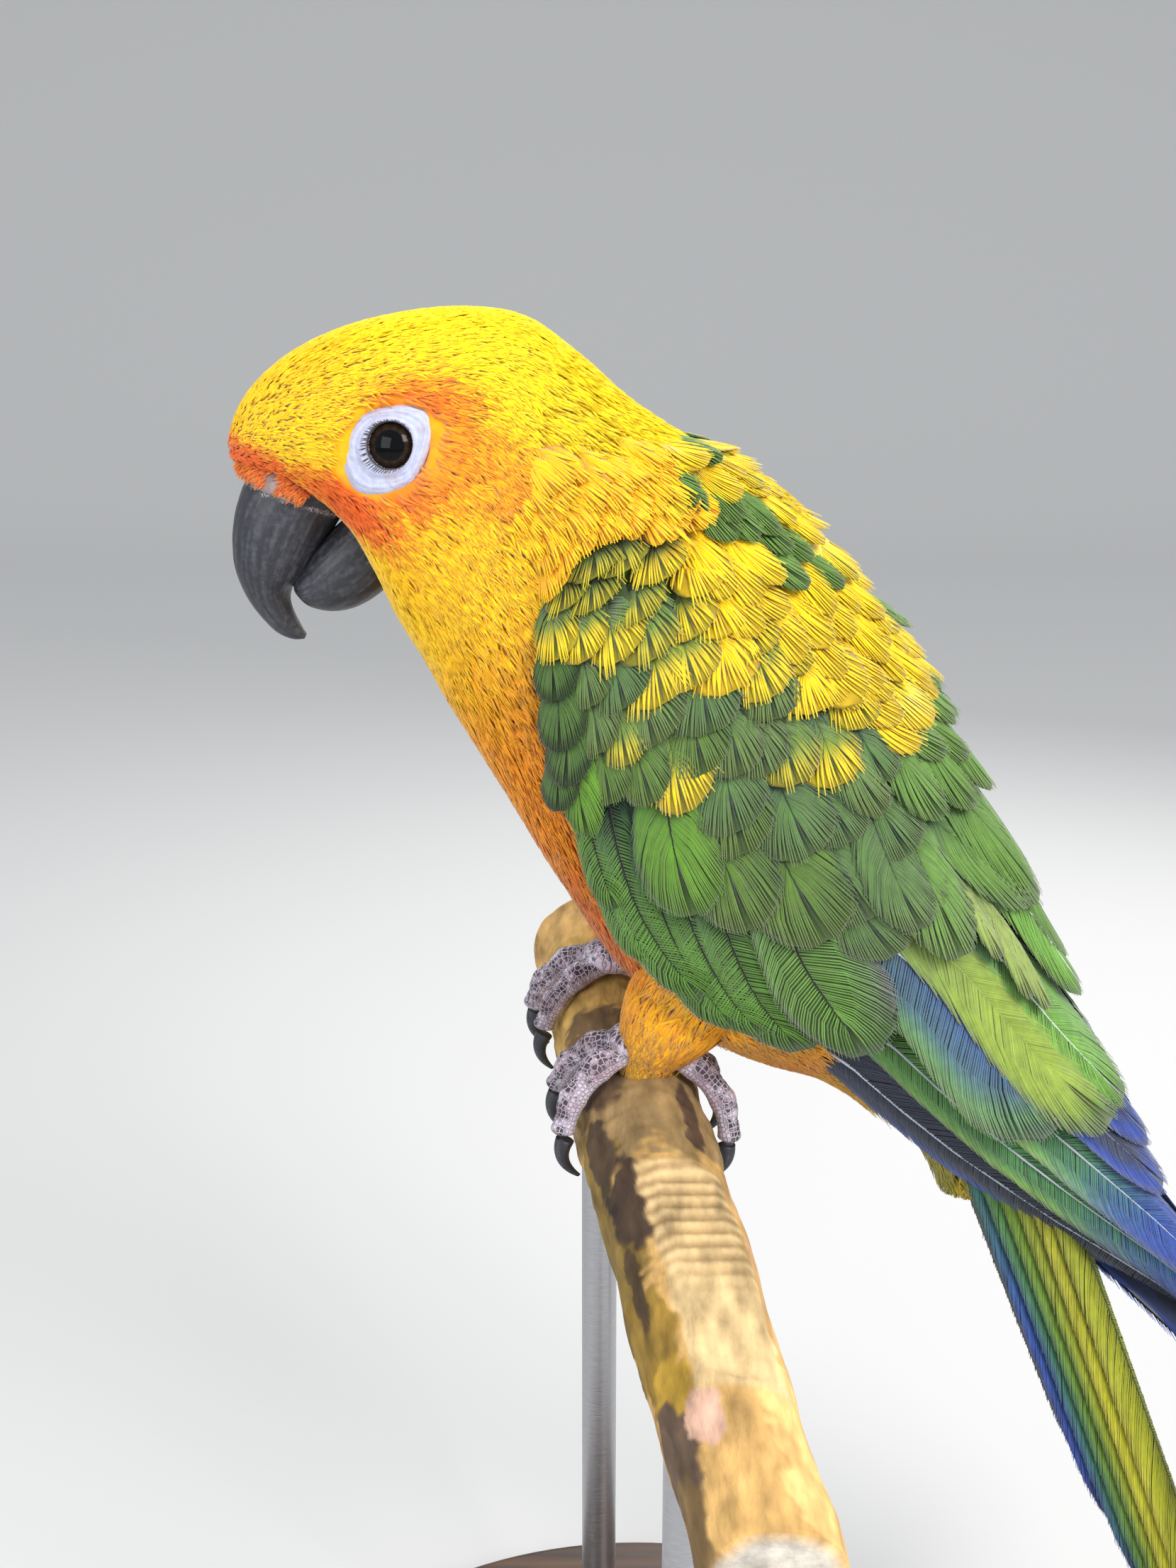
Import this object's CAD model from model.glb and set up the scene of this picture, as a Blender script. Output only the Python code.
"""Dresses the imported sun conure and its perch: skin, feathers, bill, eyes, feet, wood and light.

Lengths are millimetres in the row frame, and become metres where a mesh is made. The bird faces
-X and its left side faces -Y.
"""

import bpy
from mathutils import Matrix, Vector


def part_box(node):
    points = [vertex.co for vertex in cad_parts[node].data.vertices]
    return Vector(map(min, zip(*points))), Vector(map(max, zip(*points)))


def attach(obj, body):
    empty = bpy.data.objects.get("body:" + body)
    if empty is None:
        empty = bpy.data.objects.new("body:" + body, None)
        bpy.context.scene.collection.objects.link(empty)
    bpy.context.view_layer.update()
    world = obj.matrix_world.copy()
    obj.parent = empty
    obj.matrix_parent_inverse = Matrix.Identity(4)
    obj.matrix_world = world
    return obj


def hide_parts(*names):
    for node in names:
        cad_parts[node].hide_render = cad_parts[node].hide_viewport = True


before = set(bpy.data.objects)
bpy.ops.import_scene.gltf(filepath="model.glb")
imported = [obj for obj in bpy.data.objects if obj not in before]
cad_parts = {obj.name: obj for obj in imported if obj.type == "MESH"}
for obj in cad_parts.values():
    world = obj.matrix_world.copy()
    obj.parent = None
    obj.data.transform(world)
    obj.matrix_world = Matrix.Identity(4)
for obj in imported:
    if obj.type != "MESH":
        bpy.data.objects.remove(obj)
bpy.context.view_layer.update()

import logging
import math
from collections.abc import Callable
from dataclasses import dataclass, field
from enum import Enum

import bmesh
import bpy
import numpy as np
from mathutils import Vector
from mathutils.bvhtree import BVHTree

Array = np.ndarray
Colour = tuple[float, float, float]
Surface = Callable[[Array, Array], Array]
Painter = Callable[[Array, Array, Array], Array]
Mesh = bpy.types.Mesh
Material = bpy.types.Material
Output = bpy.types.NodeSocket

MM = 0.001
TINT = "Tint"
CHART = "Chart"
BAKE_MAP = "OFBake"
BAKE_PATCH = 0.003
NUMBER = "NodeSocketFloat"
VECTOR = "NodeSocketVector"
FULL_TURN = 2 * math.pi

log = logging.getLogger("conure")


class Side(Enum):
    """The bird's left, towards the camera, and its right."""

    LEFT = -1
    RIGHT = 1


def rgb(red: float, green: float, blue: float) -> Array:
    """A colour from its eight-bit screen values, as linear light."""
    value = np.array([red, green, blue]) / 255.0
    return np.where(value <= 0.04045, value / 12.92, ((value + 0.055) / 1.055) ** 2.4)


def mix(first: Array, second: Array, share: Array) -> Array:
    """Two values mixed by a share, with a last axis of colour where they have one."""
    return first + (second - first) * share


def smooth(low: float, high: float, value: Array) -> Array:
    """A smooth step from 0 at low to 1 at high."""
    share = np.clip((value - low) / (high - low), 0.0, 1.0)
    return share * share * (3.0 - 2.0 * share)


def read_rows(rows: Array, place: Array) -> Array:
    """Rows of a table at fractional row numbers, on a smooth curve through them.

    Args:
        rows: The table, one row after another.
        place: Row numbers of any shape.

    Returns:
        The rows, with the table's columns as the last axis.
    """
    count = len(rows)
    step = np.clip(np.floor(place).astype(int), 0, count - 2)
    f = (place - step)[..., None]
    a, b, d, e = (rows[np.clip(step + k, 0, count - 1)] for k in (-1, 0, 1, 2))
    return b + 0.5 * f * (d - a + f * (2 * a - 5 * b + 4 * d - e + f * (3 * (b - d) + e - a)))


def read_at(rows: Array, value: Array) -> Array:
    """A table whose first column rises, read smoothly at values of that column."""
    place = np.interp(value, rows[:, 0], np.arange(len(rows)))
    return read_rows(rows, place)


def rounded(value: Array, power: float) -> Array:
    """A cosine or sine bent into a superellipse's."""
    return np.sign(value) * np.abs(value) ** (2.0 / power)


def unit(vectors: Array) -> Array:
    """Vectors along the last axis, brought to length one."""
    return vectors / np.maximum(np.linalg.norm(vectors, axis=-1, keepdims=True), 1e-9)


def soft_noise(points: Array, size: float, seed: int = 0) -> Array:
    """Smooth random values from -1 to 1 in space.

    Args:
        points: Places in mm, of any shape before the last axis.
        size: The distance in mm over which the values change.
        seed: Which of many fields of values is read.

    Returns:
        One value a place.
    """
    table = np.random.default_rng(seed).uniform(-1, 1, 4096)
    place = points / size + 1000.0
    cell = np.floor(place).astype(np.int64)
    f = place - cell
    f = f * f * (3 - 2 * f)
    total = np.zeros(points.shape[:-1])
    for corner in range(8):
        step = np.array([corner & 1, corner >> 1 & 1, corner >> 2 & 1])
        at = cell + step
        index = (at[..., 0] * 73856093 ^ at[..., 1] * 19349663 ^ at[..., 2] * 83492791) % 4096
        weight = np.prod(np.where(step, f, 1 - f), axis=-1)
        total += weight * table[index]
    return total


@dataclass
class BodyForm:
    """The body from the forehead to the root of the tail, as an outer surface of the coat."""

    rows: Array = field(default_factory=lambda: np.array([
        [-51.2, 206.4, -50.7, 203.7, 2.4], [-50.2, 209.5, -48.4, 202.8, 5.2],
        [-48.0, 212.9, -45.0, 201.4, 8.0], [-43.6, 216.6, -40.4, 199.4, 10.8],
        [-37.5, 219.5, -36.4, 195.6, 12.8], [-30.2, 221.3, -33.6, 190.2, 14.1],
        [-22.8, 221.9, -31.4, 185.3, 15.2], [-15.8, 220.8, -28.6, 180.6, 16.2],
        [-9.5, 216.5, -25.6, 175.0, 17.2], [-3.0, 211.0, -22.2, 169.4, 18.6],
        [4.5, 206.3, -18.2, 162.8, 20.4], [13.0, 202.0, -14.0, 155.6, 22.4],
        [21.5, 194.6, -9.8, 149.0, 23.6], [28.3, 184.6, -5.6, 142.6, 23.8],
        [33.0, 172.5, -0.6, 137.6, 22.6], [36.4, 160.0, 6.6, 134.0, 20.0],
        [39.0, 148.5, 14.4, 130.6, 16.4], [43.2, 138.6, 21.8, 127.8, 12.8],
        [48.0, 128.4, 28.8, 122.6, 10.0], [51.6, 118.2, 34.4, 115.8, 8.0],
        [53.0, 110.6, 37.8, 109.0, 5.6],
    ]))
    fullness: float = 2.25

    @property
    def last(self) -> int:
        """The number of the last row."""
        return len(self.rows) - 1

    def point(self, row: Array, turn: Array, height: Array) -> Array:
        """Places on the body.

        Args:
            row: How far down the body, in rows.
            turn: Angle round the body, 0 on the back and pi on the belly, positive to the right.
            height: How far out from the coat's outer surface.

        Returns:
            The points, in mm.
        """
        table = read_rows(self.rows, row)
        back_x, back_z, belly_x, belly_z, half = np.moveaxis(table, -1, 0)
        up_x, up_z = back_x - belly_x, back_z - belly_z
        tall = np.hypot(up_x, up_z)
        rise = (tall / 2 + height) * rounded(np.cos(turn), self.fullness) / tall
        return np.stack([
            (back_x + belly_x) / 2 + up_x * rise,
            (half + height) * rounded(np.sin(turn), self.fullness),
            (back_z + belly_z) / 2 + up_z * rise,
        ], axis=-1)


@dataclass
class ThighForm:
    """A feathered thigh, as centres and radii down its length."""

    side: Side
    rows: Array = field(default_factory=lambda: np.array([
        [10.0, 11.5, 150.0, 8.6], [5.5, 12.0, 143.5, 7.8], [2.0, 12.4, 138.5, 6.4],
        [-0.4, 12.8, 134.6, 4.6], [-1.2, 12.6, 132.9, 3.0],
    ]))

    @property
    def last(self) -> int:
        """The number of the last row."""
        return len(self.rows) - 1

    def point(self, row: Array, turn: Array, height: Array) -> Array:
        """Places on the thigh, by row, angle from its front and height over its coat.

        Args:
            row: How far down it, in rows.
            turn: Angles round it.
            height: Height over it, in mm.

        Returns:
            The points, in mm.
        """
        table = read_rows(self.rows, row)
        foot = PERCH.centre(self.side.value * FOOT_Y) - PERCH.centre(-FOOT_Y)
        share = row / self.last
        along = read_rows(self.rows, row + 0.05) - read_rows(self.rows, row - 0.05)
        axis = unit(along[..., :3] * np.array([1, self.side.value, 1]))
        across = unit(np.cross(np.array([0.0, 1.0, 0.0]), axis))
        other = np.cross(axis, across)
        reach = np.maximum(table[..., 3] + height, 0.2)[..., None]
        centre = table[..., :3] * np.array([1, self.side.value, 1])
        centre = centre + share[..., None] * foot
        return centre + reach * (across * np.cos(turn)[..., None] + other * np.sin(turn)[..., None])


@dataclass
class WingForm:
    """The surface of a folded wing: s runs to its tip and m across it, up towards the back."""

    side: Side
    slope: float = math.radians(50)
    origin: tuple[float, float] = (-8.0, 196.0)
    crest: float = 0.35
    undercut: float = 0.15
    roundness: float = 2.2
    rows: Array = field(default_factory=lambda: np.array([
        [-4, 19.0, 17.0, -10.0], [8, 25.0, 19.6, -16.0], [20, 27.2, 21.2, -22.2],
        [35, 28.0, 21.0, -26.2], [50, 27.8, 19.2, -24.4], [64, 26.0, 16.4, -18.6],
        [80, 22.2, 12.6, -16.2], [97, 17.0, 9.4, -13.2], [124, 10.4, 5.0, -6.7],
        [160, 5.6, 1.0, -0.8],
    ], dtype=float))

    def girth(self, s: Array) -> Array:
        """How far the surface goes from its widest line to its upper edge."""
        _, half, top, bottom = np.moveaxis(read_at(self.rows, s), -1, 0)
        return (math.pi / 4) * (half + top - mix(bottom, top, self.crest))

    def lower_edge(self, s: Array) -> Array:
        """The m of the wing's lower edge."""
        _, _, top, bottom = np.moveaxis(read_at(self.rows, s), -1, 0)
        return -self.crest * (top - bottom)

    def place(self, s: Array, m: Array) -> Array:
        """Points of the surface itself, in mm, for the left wing.

        Args:
            s: Distance towards the wing's tip, in mm.
            m: Distance up across the wing, in mm.

        Returns:
            The points, in mm.
        """
        _, half, top, bottom = np.moveaxis(read_at(self.rows, s), -1, 0)
        crest = mix(bottom, top, self.crest)
        turn = (math.pi / 2) * m / self.girth(s)
        over = m > 0
        low_n = crest + m
        low_y = half * (1 - self.undercut * (m / (crest - bottom)) ** 2)
        high_n = crest + (top - crest) * np.abs(np.sin(turn)) ** (2 / self.roundness)
        high_y = half * rounded(np.cos(turn), self.roundness)
        n = np.where(over, high_n, low_n)
        y = np.where(over, high_y, low_y)
        return np.stack([
            self.origin[0] + s * math.cos(self.slope) + n * math.sin(self.slope),
            -y,
            self.origin[1] - s * math.sin(self.slope) + n * math.cos(self.slope),
        ], axis=-1)

    def point(self, s: Array, m: Array, height: Array) -> Array:
        """Places lifted off the surface, on this wing's own side.

        Args:
            s: Distance towards the wing's tip, in mm.
            m: Distance up across the wing, in mm.
            height: Height over it, in mm.

        Returns:
            The points, in mm.
        """
        step = 0.5
        along = self.place(s + step, m) - self.place(s - step, m)
        across = self.place(s, m + step) - self.place(s, m - step)
        out = unit(np.cross(along, across))
        left = self.place(s, m) + out * height[..., None]
        return left * np.array([1, -self.side.value, 1])


@dataclass
class TailForm:
    """The folded tail as a roof: round along its ridge and straight down its slopes."""

    root: Array = field(default_factory=lambda: np.array([43.0, 0.0, 140.0]))
    down: Array = field(default_factory=lambda: np.array([0.362, 0.0, -0.932]))
    back: Array = field(default_factory=lambda: np.array([0.932, 0.0, 0.362]))
    slope: float = math.radians(55)
    round_by: float = 7.3

    def point(self, along: Array, across: Array, height: Array) -> Array:
        """Places by distance down the tail, down a slope (left is negative) and height.

        Args:
            along: Distance down the tail, in mm.
            across: Distance down a slope, negative to the left, in mm.
            height: Height over it, in mm.

        Returns:
            The points, in mm.
        """
        turn = np.minimum(np.abs(across) / self.round_by, self.slope)
        straight = np.maximum(np.abs(across) - self.round_by * self.slope, 0.0)
        radius = self.round_by + height
        reach = radius * np.sin(turn) + straight * np.cos(turn)
        fall = self.round_by - radius * np.cos(turn) + straight * np.sin(turn)
        sideways = np.stack([np.zeros_like(reach), np.sign(across) * reach, np.zeros_like(reach)], -1)
        return self.root + along[..., None] * self.down - fall[..., None] * self.back + sideways


@dataclass
class PerchForm:
    """The cut branch, which runs nearly along Y."""

    far_y: float = 39.0
    near_y: float = -90.0
    feet_y: float = -12.0
    at_feet: tuple[float, float, float] = (-1.9, 123.3, 8.75)
    slope_x: float = 0.126
    slope_z: float = 0.0945
    taper: float = 0.022

    def centre(self, y: Array | float) -> Array:
        """The branch's middle at a place along Y.

        Args:
            y: Places along Y, in mm.

        Returns:
            The middle, in mm.
        """
        y = np.asarray(y, dtype=float)
        ahead = self.feet_y - y
        return np.stack([
            self.at_feet[0] + self.slope_x * ahead, y, self.at_feet[1] - self.slope_z * ahead,
        ], axis=-1)

    def radius(self, y: Array | float) -> Array:
        """The branch's radius at a place along Y."""
        return self.at_feet[2] - self.taper * np.maximum(self.feet_y - np.asarray(y, dtype=float), 0)

    def point(self, y: Array, degrees: Array, height: Array) -> Array:
        """Places round the branch, 90 degrees at its top.

        Args:
            y: Places along Y, in mm.
            degrees: Angles round the branch.
            height: Height over it, in mm.

        Returns:
            The points, in mm.
        """
        angle = np.radians(degrees)
        reach = self.radius(y) + height
        aside = np.stack([reach * np.cos(angle), np.zeros_like(reach), reach * np.sin(angle)], -1)
        return self.centre(y) + aside


PERCH = PerchForm()
FOOT_Y = 12.0
BODY = BodyForm()


def socket(node: bpy.types.Node, name: str, value: object) -> None:
    """Sets an input of a node by its name."""
    node.inputs[name].default_value = value


class Shader:
    """A material under construction, with short ways to add and join its nodes."""

    def __init__(self, name: str, roughness: float, specular: float = 0.4) -> None:
        """Starts a material.

        Args:
            name: The material's name.
            roughness: Its roughness where nothing varies it.
            specular: Its specular level.
        """
        self.material = bpy.data.materials.new(name)
        self.material.use_nodes = True
        self.tree = self.material.node_tree
        self.surface = self.tree.nodes["Principled BSDF"]
        socket(self.surface, "Roughness", roughness)
        socket(self.surface, "Specular IOR Level", specular)

    def node(self, kind: str, **values: object) -> bpy.types.Node:
        """Adds a node and sets its own properties.

        Args:
            kind: The node's kind.
            **values: Its properties.

        Returns:
            The node.
        """
        made = self.tree.nodes.new(kind)
        for name, value in values.items():
            setattr(made, name, value)
        return made

    def join(self, source: Output, target: Output) -> None:
        """Links an output to an input."""
        self.tree.links.new(source, target)

    def give(self, target: Output, value: object) -> None:
        """Joins an output to an input, or sets the input to a plain value.

        Args:
            target: The input.
            value: The output or the value.
        """
        if isinstance(value, Output):
            self.join(value, target)
        else:
            target.default_value = value

    def attribute(self, name: str) -> Output:
        """The colour of a mesh attribute."""
        return self.node("ShaderNodeAttribute", attribute_name=name).outputs["Color"]

    def effect(self, group: bpy.types.NodeTree, **values: object) -> bpy.types.Node:
        """Places a shared effect with its own values.

        Args:
            group: The effect's node group.
            **values: Input values, or outputs to join to them, by name.

        Returns:
            The group's node.
        """
        made = self.node("ShaderNodeGroup", node_tree=group)
        for name, value in values.items():
            self.give(made.inputs[name], value)
        return made

    def vector(self, name: str) -> Output:
        """The vector of a mesh attribute."""
        return self.node("ShaderNodeAttribute", attribute_name=name).outputs["Vector"]

    def parts(self, source: Output) -> bpy.types.Node:
        """A vector's three values.

        Args:
            source: The vector.

        Returns:
            The node with the values X, Y and Z.
        """
        made = self.node("ShaderNodeSeparateXYZ")
        self.join(source, made.inputs[0])
        return made

    def math(self, operation: str, first: object, second: object = 0.0) -> Output:
        """A sum of two values, each a number or an output.

        Args:
            operation: The node's operation.
            first: The first value.
            second: The second value.

        Returns:
            The result.
        """
        made = self.node("ShaderNodeMath", operation=operation)
        self.give(made.inputs[0], first)
        self.give(made.inputs[1], second)
        return made.outputs[0]

    def step(self, value: Output, low: float, high: float) -> Output:
        """A value's smooth climb from 0 at low to 1 at high.

        Args:
            value: The value.
            low: Where it starts.
            high: Where it ends.

        Returns:
            The result.
        """
        made = self.node("ShaderNodeMapRange", interpolation_type="SMOOTHSTEP")
        self.join(value, made.inputs["Value"])
        socket(made, "From Min", low)
        socket(made, "From Max", high)
        return made.outputs["Result"]

    def noise(
        self, scale: float, detail: float = 5.0, stretch: Colour = (1, 1, 1),
        source: Output | None = None,
    ) -> Output:
        """Noise on Object coordinates, or on another vector.

        Args:
            scale: Its scale.
            detail: How many finer layers it has.
            stretch: Scale by axis.
            source: The other vector.

        Returns:
            The noise.
        """
        mapping = self.node("ShaderNodeMapping")
        socket(mapping, "Scale", stretch)
        made = self.node("ShaderNodeTexNoise")
        socket(made, "Scale", scale)
        socket(made, "Detail", detail)
        place = source or self.node("ShaderNodeTexCoord").outputs["Object"]
        self.join(place, mapping.inputs["Vector"])
        self.join(mapping.outputs["Vector"], made.inputs["Vector"])
        return made.outputs["Fac"]

    def blend(self, share: Output, first: object, second: object) -> Output:
        """Two colours mixed by a share, each a colour or an output.

        Args:
            share: How much of the second there is.
            first: The first colour.
            second: The second colour.

        Returns:
            The mixed colour.
        """
        made = self.node("ShaderNodeMix", data_type="RGBA")
        self.join(share, made.inputs["Factor"])
        for index, value in ((6, first), (7, second)):
            self.give(made.inputs[index], value if isinstance(value, Output) else (*value, 1))
        return made.outputs[2]

    def bump(self, height: Output, depth: float) -> None:
        """Joins a bump of a depth in metres to the surface's normal.

        Args:
            height: The height's pattern.
            depth: Its depth, in metres.
        """
        made = self.node("ShaderNodeBump")
        socket(made, "Distance", depth)
        self.join(height, made.inputs["Height"])
        self.normal(made.outputs["Normal"])

    def roughness(self, source: Output) -> None:
        """Joins the roughness."""
        self.join(source, self.surface.inputs["Roughness"])

    def colour(self, source: Output) -> None:
        """Joins the base colour."""
        self.join(source, self.surface.inputs["Base Color"])

    def normal(self, source: Output) -> None:
        """Joins the normal."""
        self.join(source, self.surface.inputs["Normal"])


class Effects:
    """Shader node groups that several finishes share."""

    def __init__(self) -> None:
        """Builds each group once."""
        self.mottle = self._mottle()
        self.relief = self._relief()

    @staticmethod
    def _start(name: str, inputs: dict[str, tuple[str, object]], outputs: dict[str, str]
               ) -> tuple[bpy.types.NodeTree, bpy.types.Node, bpy.types.Node]:
        """Starts a group with its sockets.

        Args:
            name: The group's name.
            inputs: Socket kind and default value by name.
            outputs: Socket kind by name.

        Returns:
            The group, its input node and its output node.
        """
        tree = bpy.data.node_groups.new(name, "ShaderNodeTree")
        for label, (kind, value) in inputs.items():
            made = tree.interface.new_socket(label, in_out="INPUT", socket_type=kind)
            made.default_value = value
        for label, kind in outputs.items():
            tree.interface.new_socket(label, in_out="OUTPUT", socket_type=kind)
        return tree, tree.nodes.new("NodeGroupInput"), tree.nodes.new("NodeGroupOutput")

    @staticmethod
    def _noise(tree: bpy.types.NodeTree, given: bpy.types.Node, detail: float) -> Output:
        """Noise on Object coordinates, at the group's own scale and stretch.

        Args:
            tree: The group.
            given: Its input node.
            detail: How many finer layers the noise has.

        Returns:
            The noise.
        """
        place = tree.nodes.new("ShaderNodeTexCoord")
        mapping = tree.nodes.new("ShaderNodeMapping")
        noise = tree.nodes.new("ShaderNodeTexNoise")
        socket(noise, "Detail", detail)
        for source, target in (
            (place.outputs["Object"], mapping.inputs["Vector"]),
            (given.outputs["Stretch"], mapping.inputs["Scale"]),
            (mapping.outputs["Vector"], noise.inputs["Vector"]),
            (given.outputs["Scale"], noise.inputs["Scale"]),
        ):
            tree.links.new(source, target)
        return noise.outputs["Fac"]

    @classmethod
    def _mottle(cls) -> bpy.types.NodeTree:
        """A colour made lighter and darker in soft patches, at a scale and a strength.

        Returns:
            The group.
        """
        tree, given, out = cls._start("mottle", {
            "Colour": ("NodeSocketColor", (1, 1, 1, 1)), "Scale": (NUMBER, 500.0),
            "Strength": (NUMBER, 0.2), "Stretch": (VECTOR, (1, 1, 1)),
        }, {"Colour": "NodeSocketColor"})
        noise = cls._noise(tree, given, 5.0)
        centred = tree.nodes.new("ShaderNodeMapRange")
        for name, value in (("From Min", 0.3), ("From Max", 0.7), ("To Min", -1.0)):
            socket(centred, name, value)
        strength = tree.nodes.new("ShaderNodeMath")
        strength.operation = "MULTIPLY_ADD"
        strength.inputs[2].default_value = 1.0
        scaled = tree.nodes.new("ShaderNodeVectorMath")
        scaled.operation = "SCALE"
        for source, target in (
            (noise, centred.inputs["Value"]), (centred.outputs["Result"], strength.inputs[0]),
            (given.outputs["Strength"], strength.inputs[1]),
            (given.outputs["Colour"], scaled.inputs[0]),
            (strength.outputs["Value"], scaled.inputs["Scale"]),
            (scaled.outputs["Vector"], out.inputs["Colour"]),
        ):
            tree.links.new(source, target)
        return tree

    @classmethod
    def _relief(cls) -> bpy.types.NodeTree:
        """A normal from fine noise, at a scale and a depth in metres.

        Returns:
            The group.
        """
        tree, given, out = cls._start("relief", {
            "Scale": (NUMBER, 2000.0), "Depth": (NUMBER, 0.0001), "Stretch": (VECTOR, (1, 1, 1)),
        }, {"Normal": VECTOR})
        bump = tree.nodes.new("ShaderNodeBump")
        tree.links.new(cls._noise(tree, given, 4.0), bump.inputs["Height"])
        tree.links.new(given.outputs["Depth"], bump.inputs["Distance"])
        tree.links.new(bump.outputs["Normal"], out.inputs["Normal"])
        return tree


EFFECTS = Effects()


@dataclass(frozen=True)
class TintedFinish:
    """A finish whose colour comes from the mesh, with mottling and fine relief over it."""

    name: str
    roughness: float = 0.6
    specular: float = 0.3
    sheen: float = 0.0
    mottle_scale: float = 700.0
    mottle_strength: float = 0.12
    relief_scale: float = 3000.0
    relief_depth: float = 0.00004
    stretch: Colour = (1.0, 1.0, 1.0)

    def material(self) -> Material:
        """The finish as a material.

        Returns:
            The material.
        """
        shader = Shader(self.name, self.roughness, self.specular)
        if self.sheen:
            socket(shader.surface, "Sheen Weight", self.sheen)
            socket(shader.surface, "Sheen Roughness", 0.5)
        mottled = shader.effect(
            EFFECTS.mottle, Colour=shader.attribute(TINT), Scale=self.mottle_scale,
            Strength=self.mottle_strength, Stretch=self.stretch,
        )
        shader.colour(mottled.outputs["Colour"])
        relief = shader.effect(
            EFFECTS.relief, Scale=self.relief_scale, Depth=self.relief_depth, Stretch=self.stretch,
        )
        shader.normal(relief.outputs["Normal"])
        return shader.material


def mesh_from(name: str, points: Array, faces: Array) -> Mesh:
    """A mesh from points in mm and triangles.

    Args:
        name: The mesh's name.
        points: One row a point.
        faces: Three point numbers a row.

    Returns:
        The mesh, smooth shaded.
    """
    mesh = bpy.data.meshes.new(name)
    mesh.vertices.add(len(points))
    mesh.vertices.foreach_set("co", (points * MM).astype(np.float32).ravel())
    mesh.loops.add(faces.size)
    mesh.loops.foreach_set("vertex_index", faces.astype(np.int32).ravel())
    mesh.polygons.add(len(faces))
    mesh.polygons.foreach_set("loop_start", np.arange(0, faces.size, 3, dtype=np.int32))
    mesh.update(calc_edges=True)
    mesh.polygons.foreach_set("use_smooth", np.ones(len(faces), dtype=bool))
    return mesh


def paint(mesh: Mesh, colours: Array, name: str = TINT) -> None:
    """Stores one linear colour a vertex.

    Args:
        mesh: The mesh.
        colours: One row a point.
        name: The layer's name.
    """
    layer = mesh.attributes.new(name, "FLOAT_COLOR", "POINT")
    flat = np.ones((len(mesh.vertices), 4), dtype=np.float32)
    flat[:, :3] = np.clip(colours, 0.0, 1.0)
    layer.data.foreach_set("color", flat.ravel())


def points_of(mesh: Mesh) -> Array:
    """The mesh's points, in mm.

    Args:
        mesh: The mesh.

    Returns:
        One row a point.
    """
    flat = np.zeros(len(mesh.vertices) * 3, dtype=np.float32)
    mesh.vertices.foreach_get("co", flat)
    return flat.reshape(-1, 3).astype(float) / MM


def show(
    mesh: Mesh, material: Material,
    replaces: tuple[str, ...] = (), rides: bool = True,
) -> bpy.types.Object:
    """Adds a mesh to the scene as a piece.

    Args:
        mesh: The finished mesh, in place.
        material: Its only material.
        replaces: CAD nodes that it stands for.
        rides: Whether it belongs to the part.

    Returns:
        The object.
    """
    piece = bpy.data.objects.new(mesh.name, mesh)
    bpy.context.scene.collection.objects.link(piece)
    mesh.materials.clear()
    mesh.materials.append(material)
    if rides:
        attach(piece, "root")
        if replaces:
            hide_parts(*replaces)
        log.info("%s: %d faces", mesh.name, len(mesh.polygons))
    return piece


def wrapped(
    name: str, long: int, around: int, surface: Surface, closed: bool = True, caps: bool = True,
    tint: Painter | None = None, chart: Painter | None = None,
) -> Mesh:
    """A grid bent onto a surface.

    Args:
        name: The mesh's name.
        long: Steps along the first share.
        around: Steps along the second share.
        surface: Gives points in mm from two arrays of shares from 0 to 1.
        closed: Whether the second share comes round to its start.
        caps: Whether open ends are filled.
        tint: Gives linear colours from both shares and the points.
        chart: Gives three values a point for the finish, in the same way.

    Returns:
        The mesh, with its seam merged and its faces pointing out.
    """
    shape = bmesh.new()
    bmesh.ops.create_grid(shape, x_segments=long, y_segments=around, size=0.5)
    shares = np.array([vertex.co[:2] for vertex in shape.verts]) + 0.5
    places = surface(shares[:, 0], shares[:, 1])
    for vertex, place in zip(shape.verts, places * MM):
        vertex.co = place
    if tint:
        layer = shape.verts.layers.float_color.new(TINT)
        for vertex, value in zip(shape.verts, tint(shares[:, 0], shares[:, 1], places)):
            vertex[layer] = (*np.clip(value, 0, 1), 1)
    if chart:
        layer = shape.verts.layers.float_vector.new(CHART)
        for vertex, value in zip(shape.verts, chart(shares[:, 0], shares[:, 1], places)):
            vertex[layer] = value
    if closed:
        bmesh.ops.remove_doubles(shape, verts=shape.verts, dist=2e-7)
    if caps:
        rim = [edge for edge in shape.edges if edge.is_boundary]
        if rim:
            bmesh.ops.holes_fill(shape, edges=rim)
    bmesh.ops.recalc_face_normals(shape, faces=shape.faces)
    for face in shape.faces:
        face.smooth = True
    mesh = bpy.data.meshes.new(name)
    shape.to_mesh(mesh)
    shape.free()
    return mesh


def joined_meshes(name: str, meshes: list[Mesh]) -> Mesh:
    """Several meshes as one, the first ones' data removed.

    Args:
        name: The new mesh's name.
        meshes: The meshes, which are removed.

    Returns:
        The one mesh.
    """
    shape = bmesh.new()
    for mesh in meshes:
        shape.from_mesh(mesh)
        bpy.data.meshes.remove(mesh)
    whole = bpy.data.meshes.new(name)
    shape.to_mesh(whole)
    shape.free()
    return whole


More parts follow.
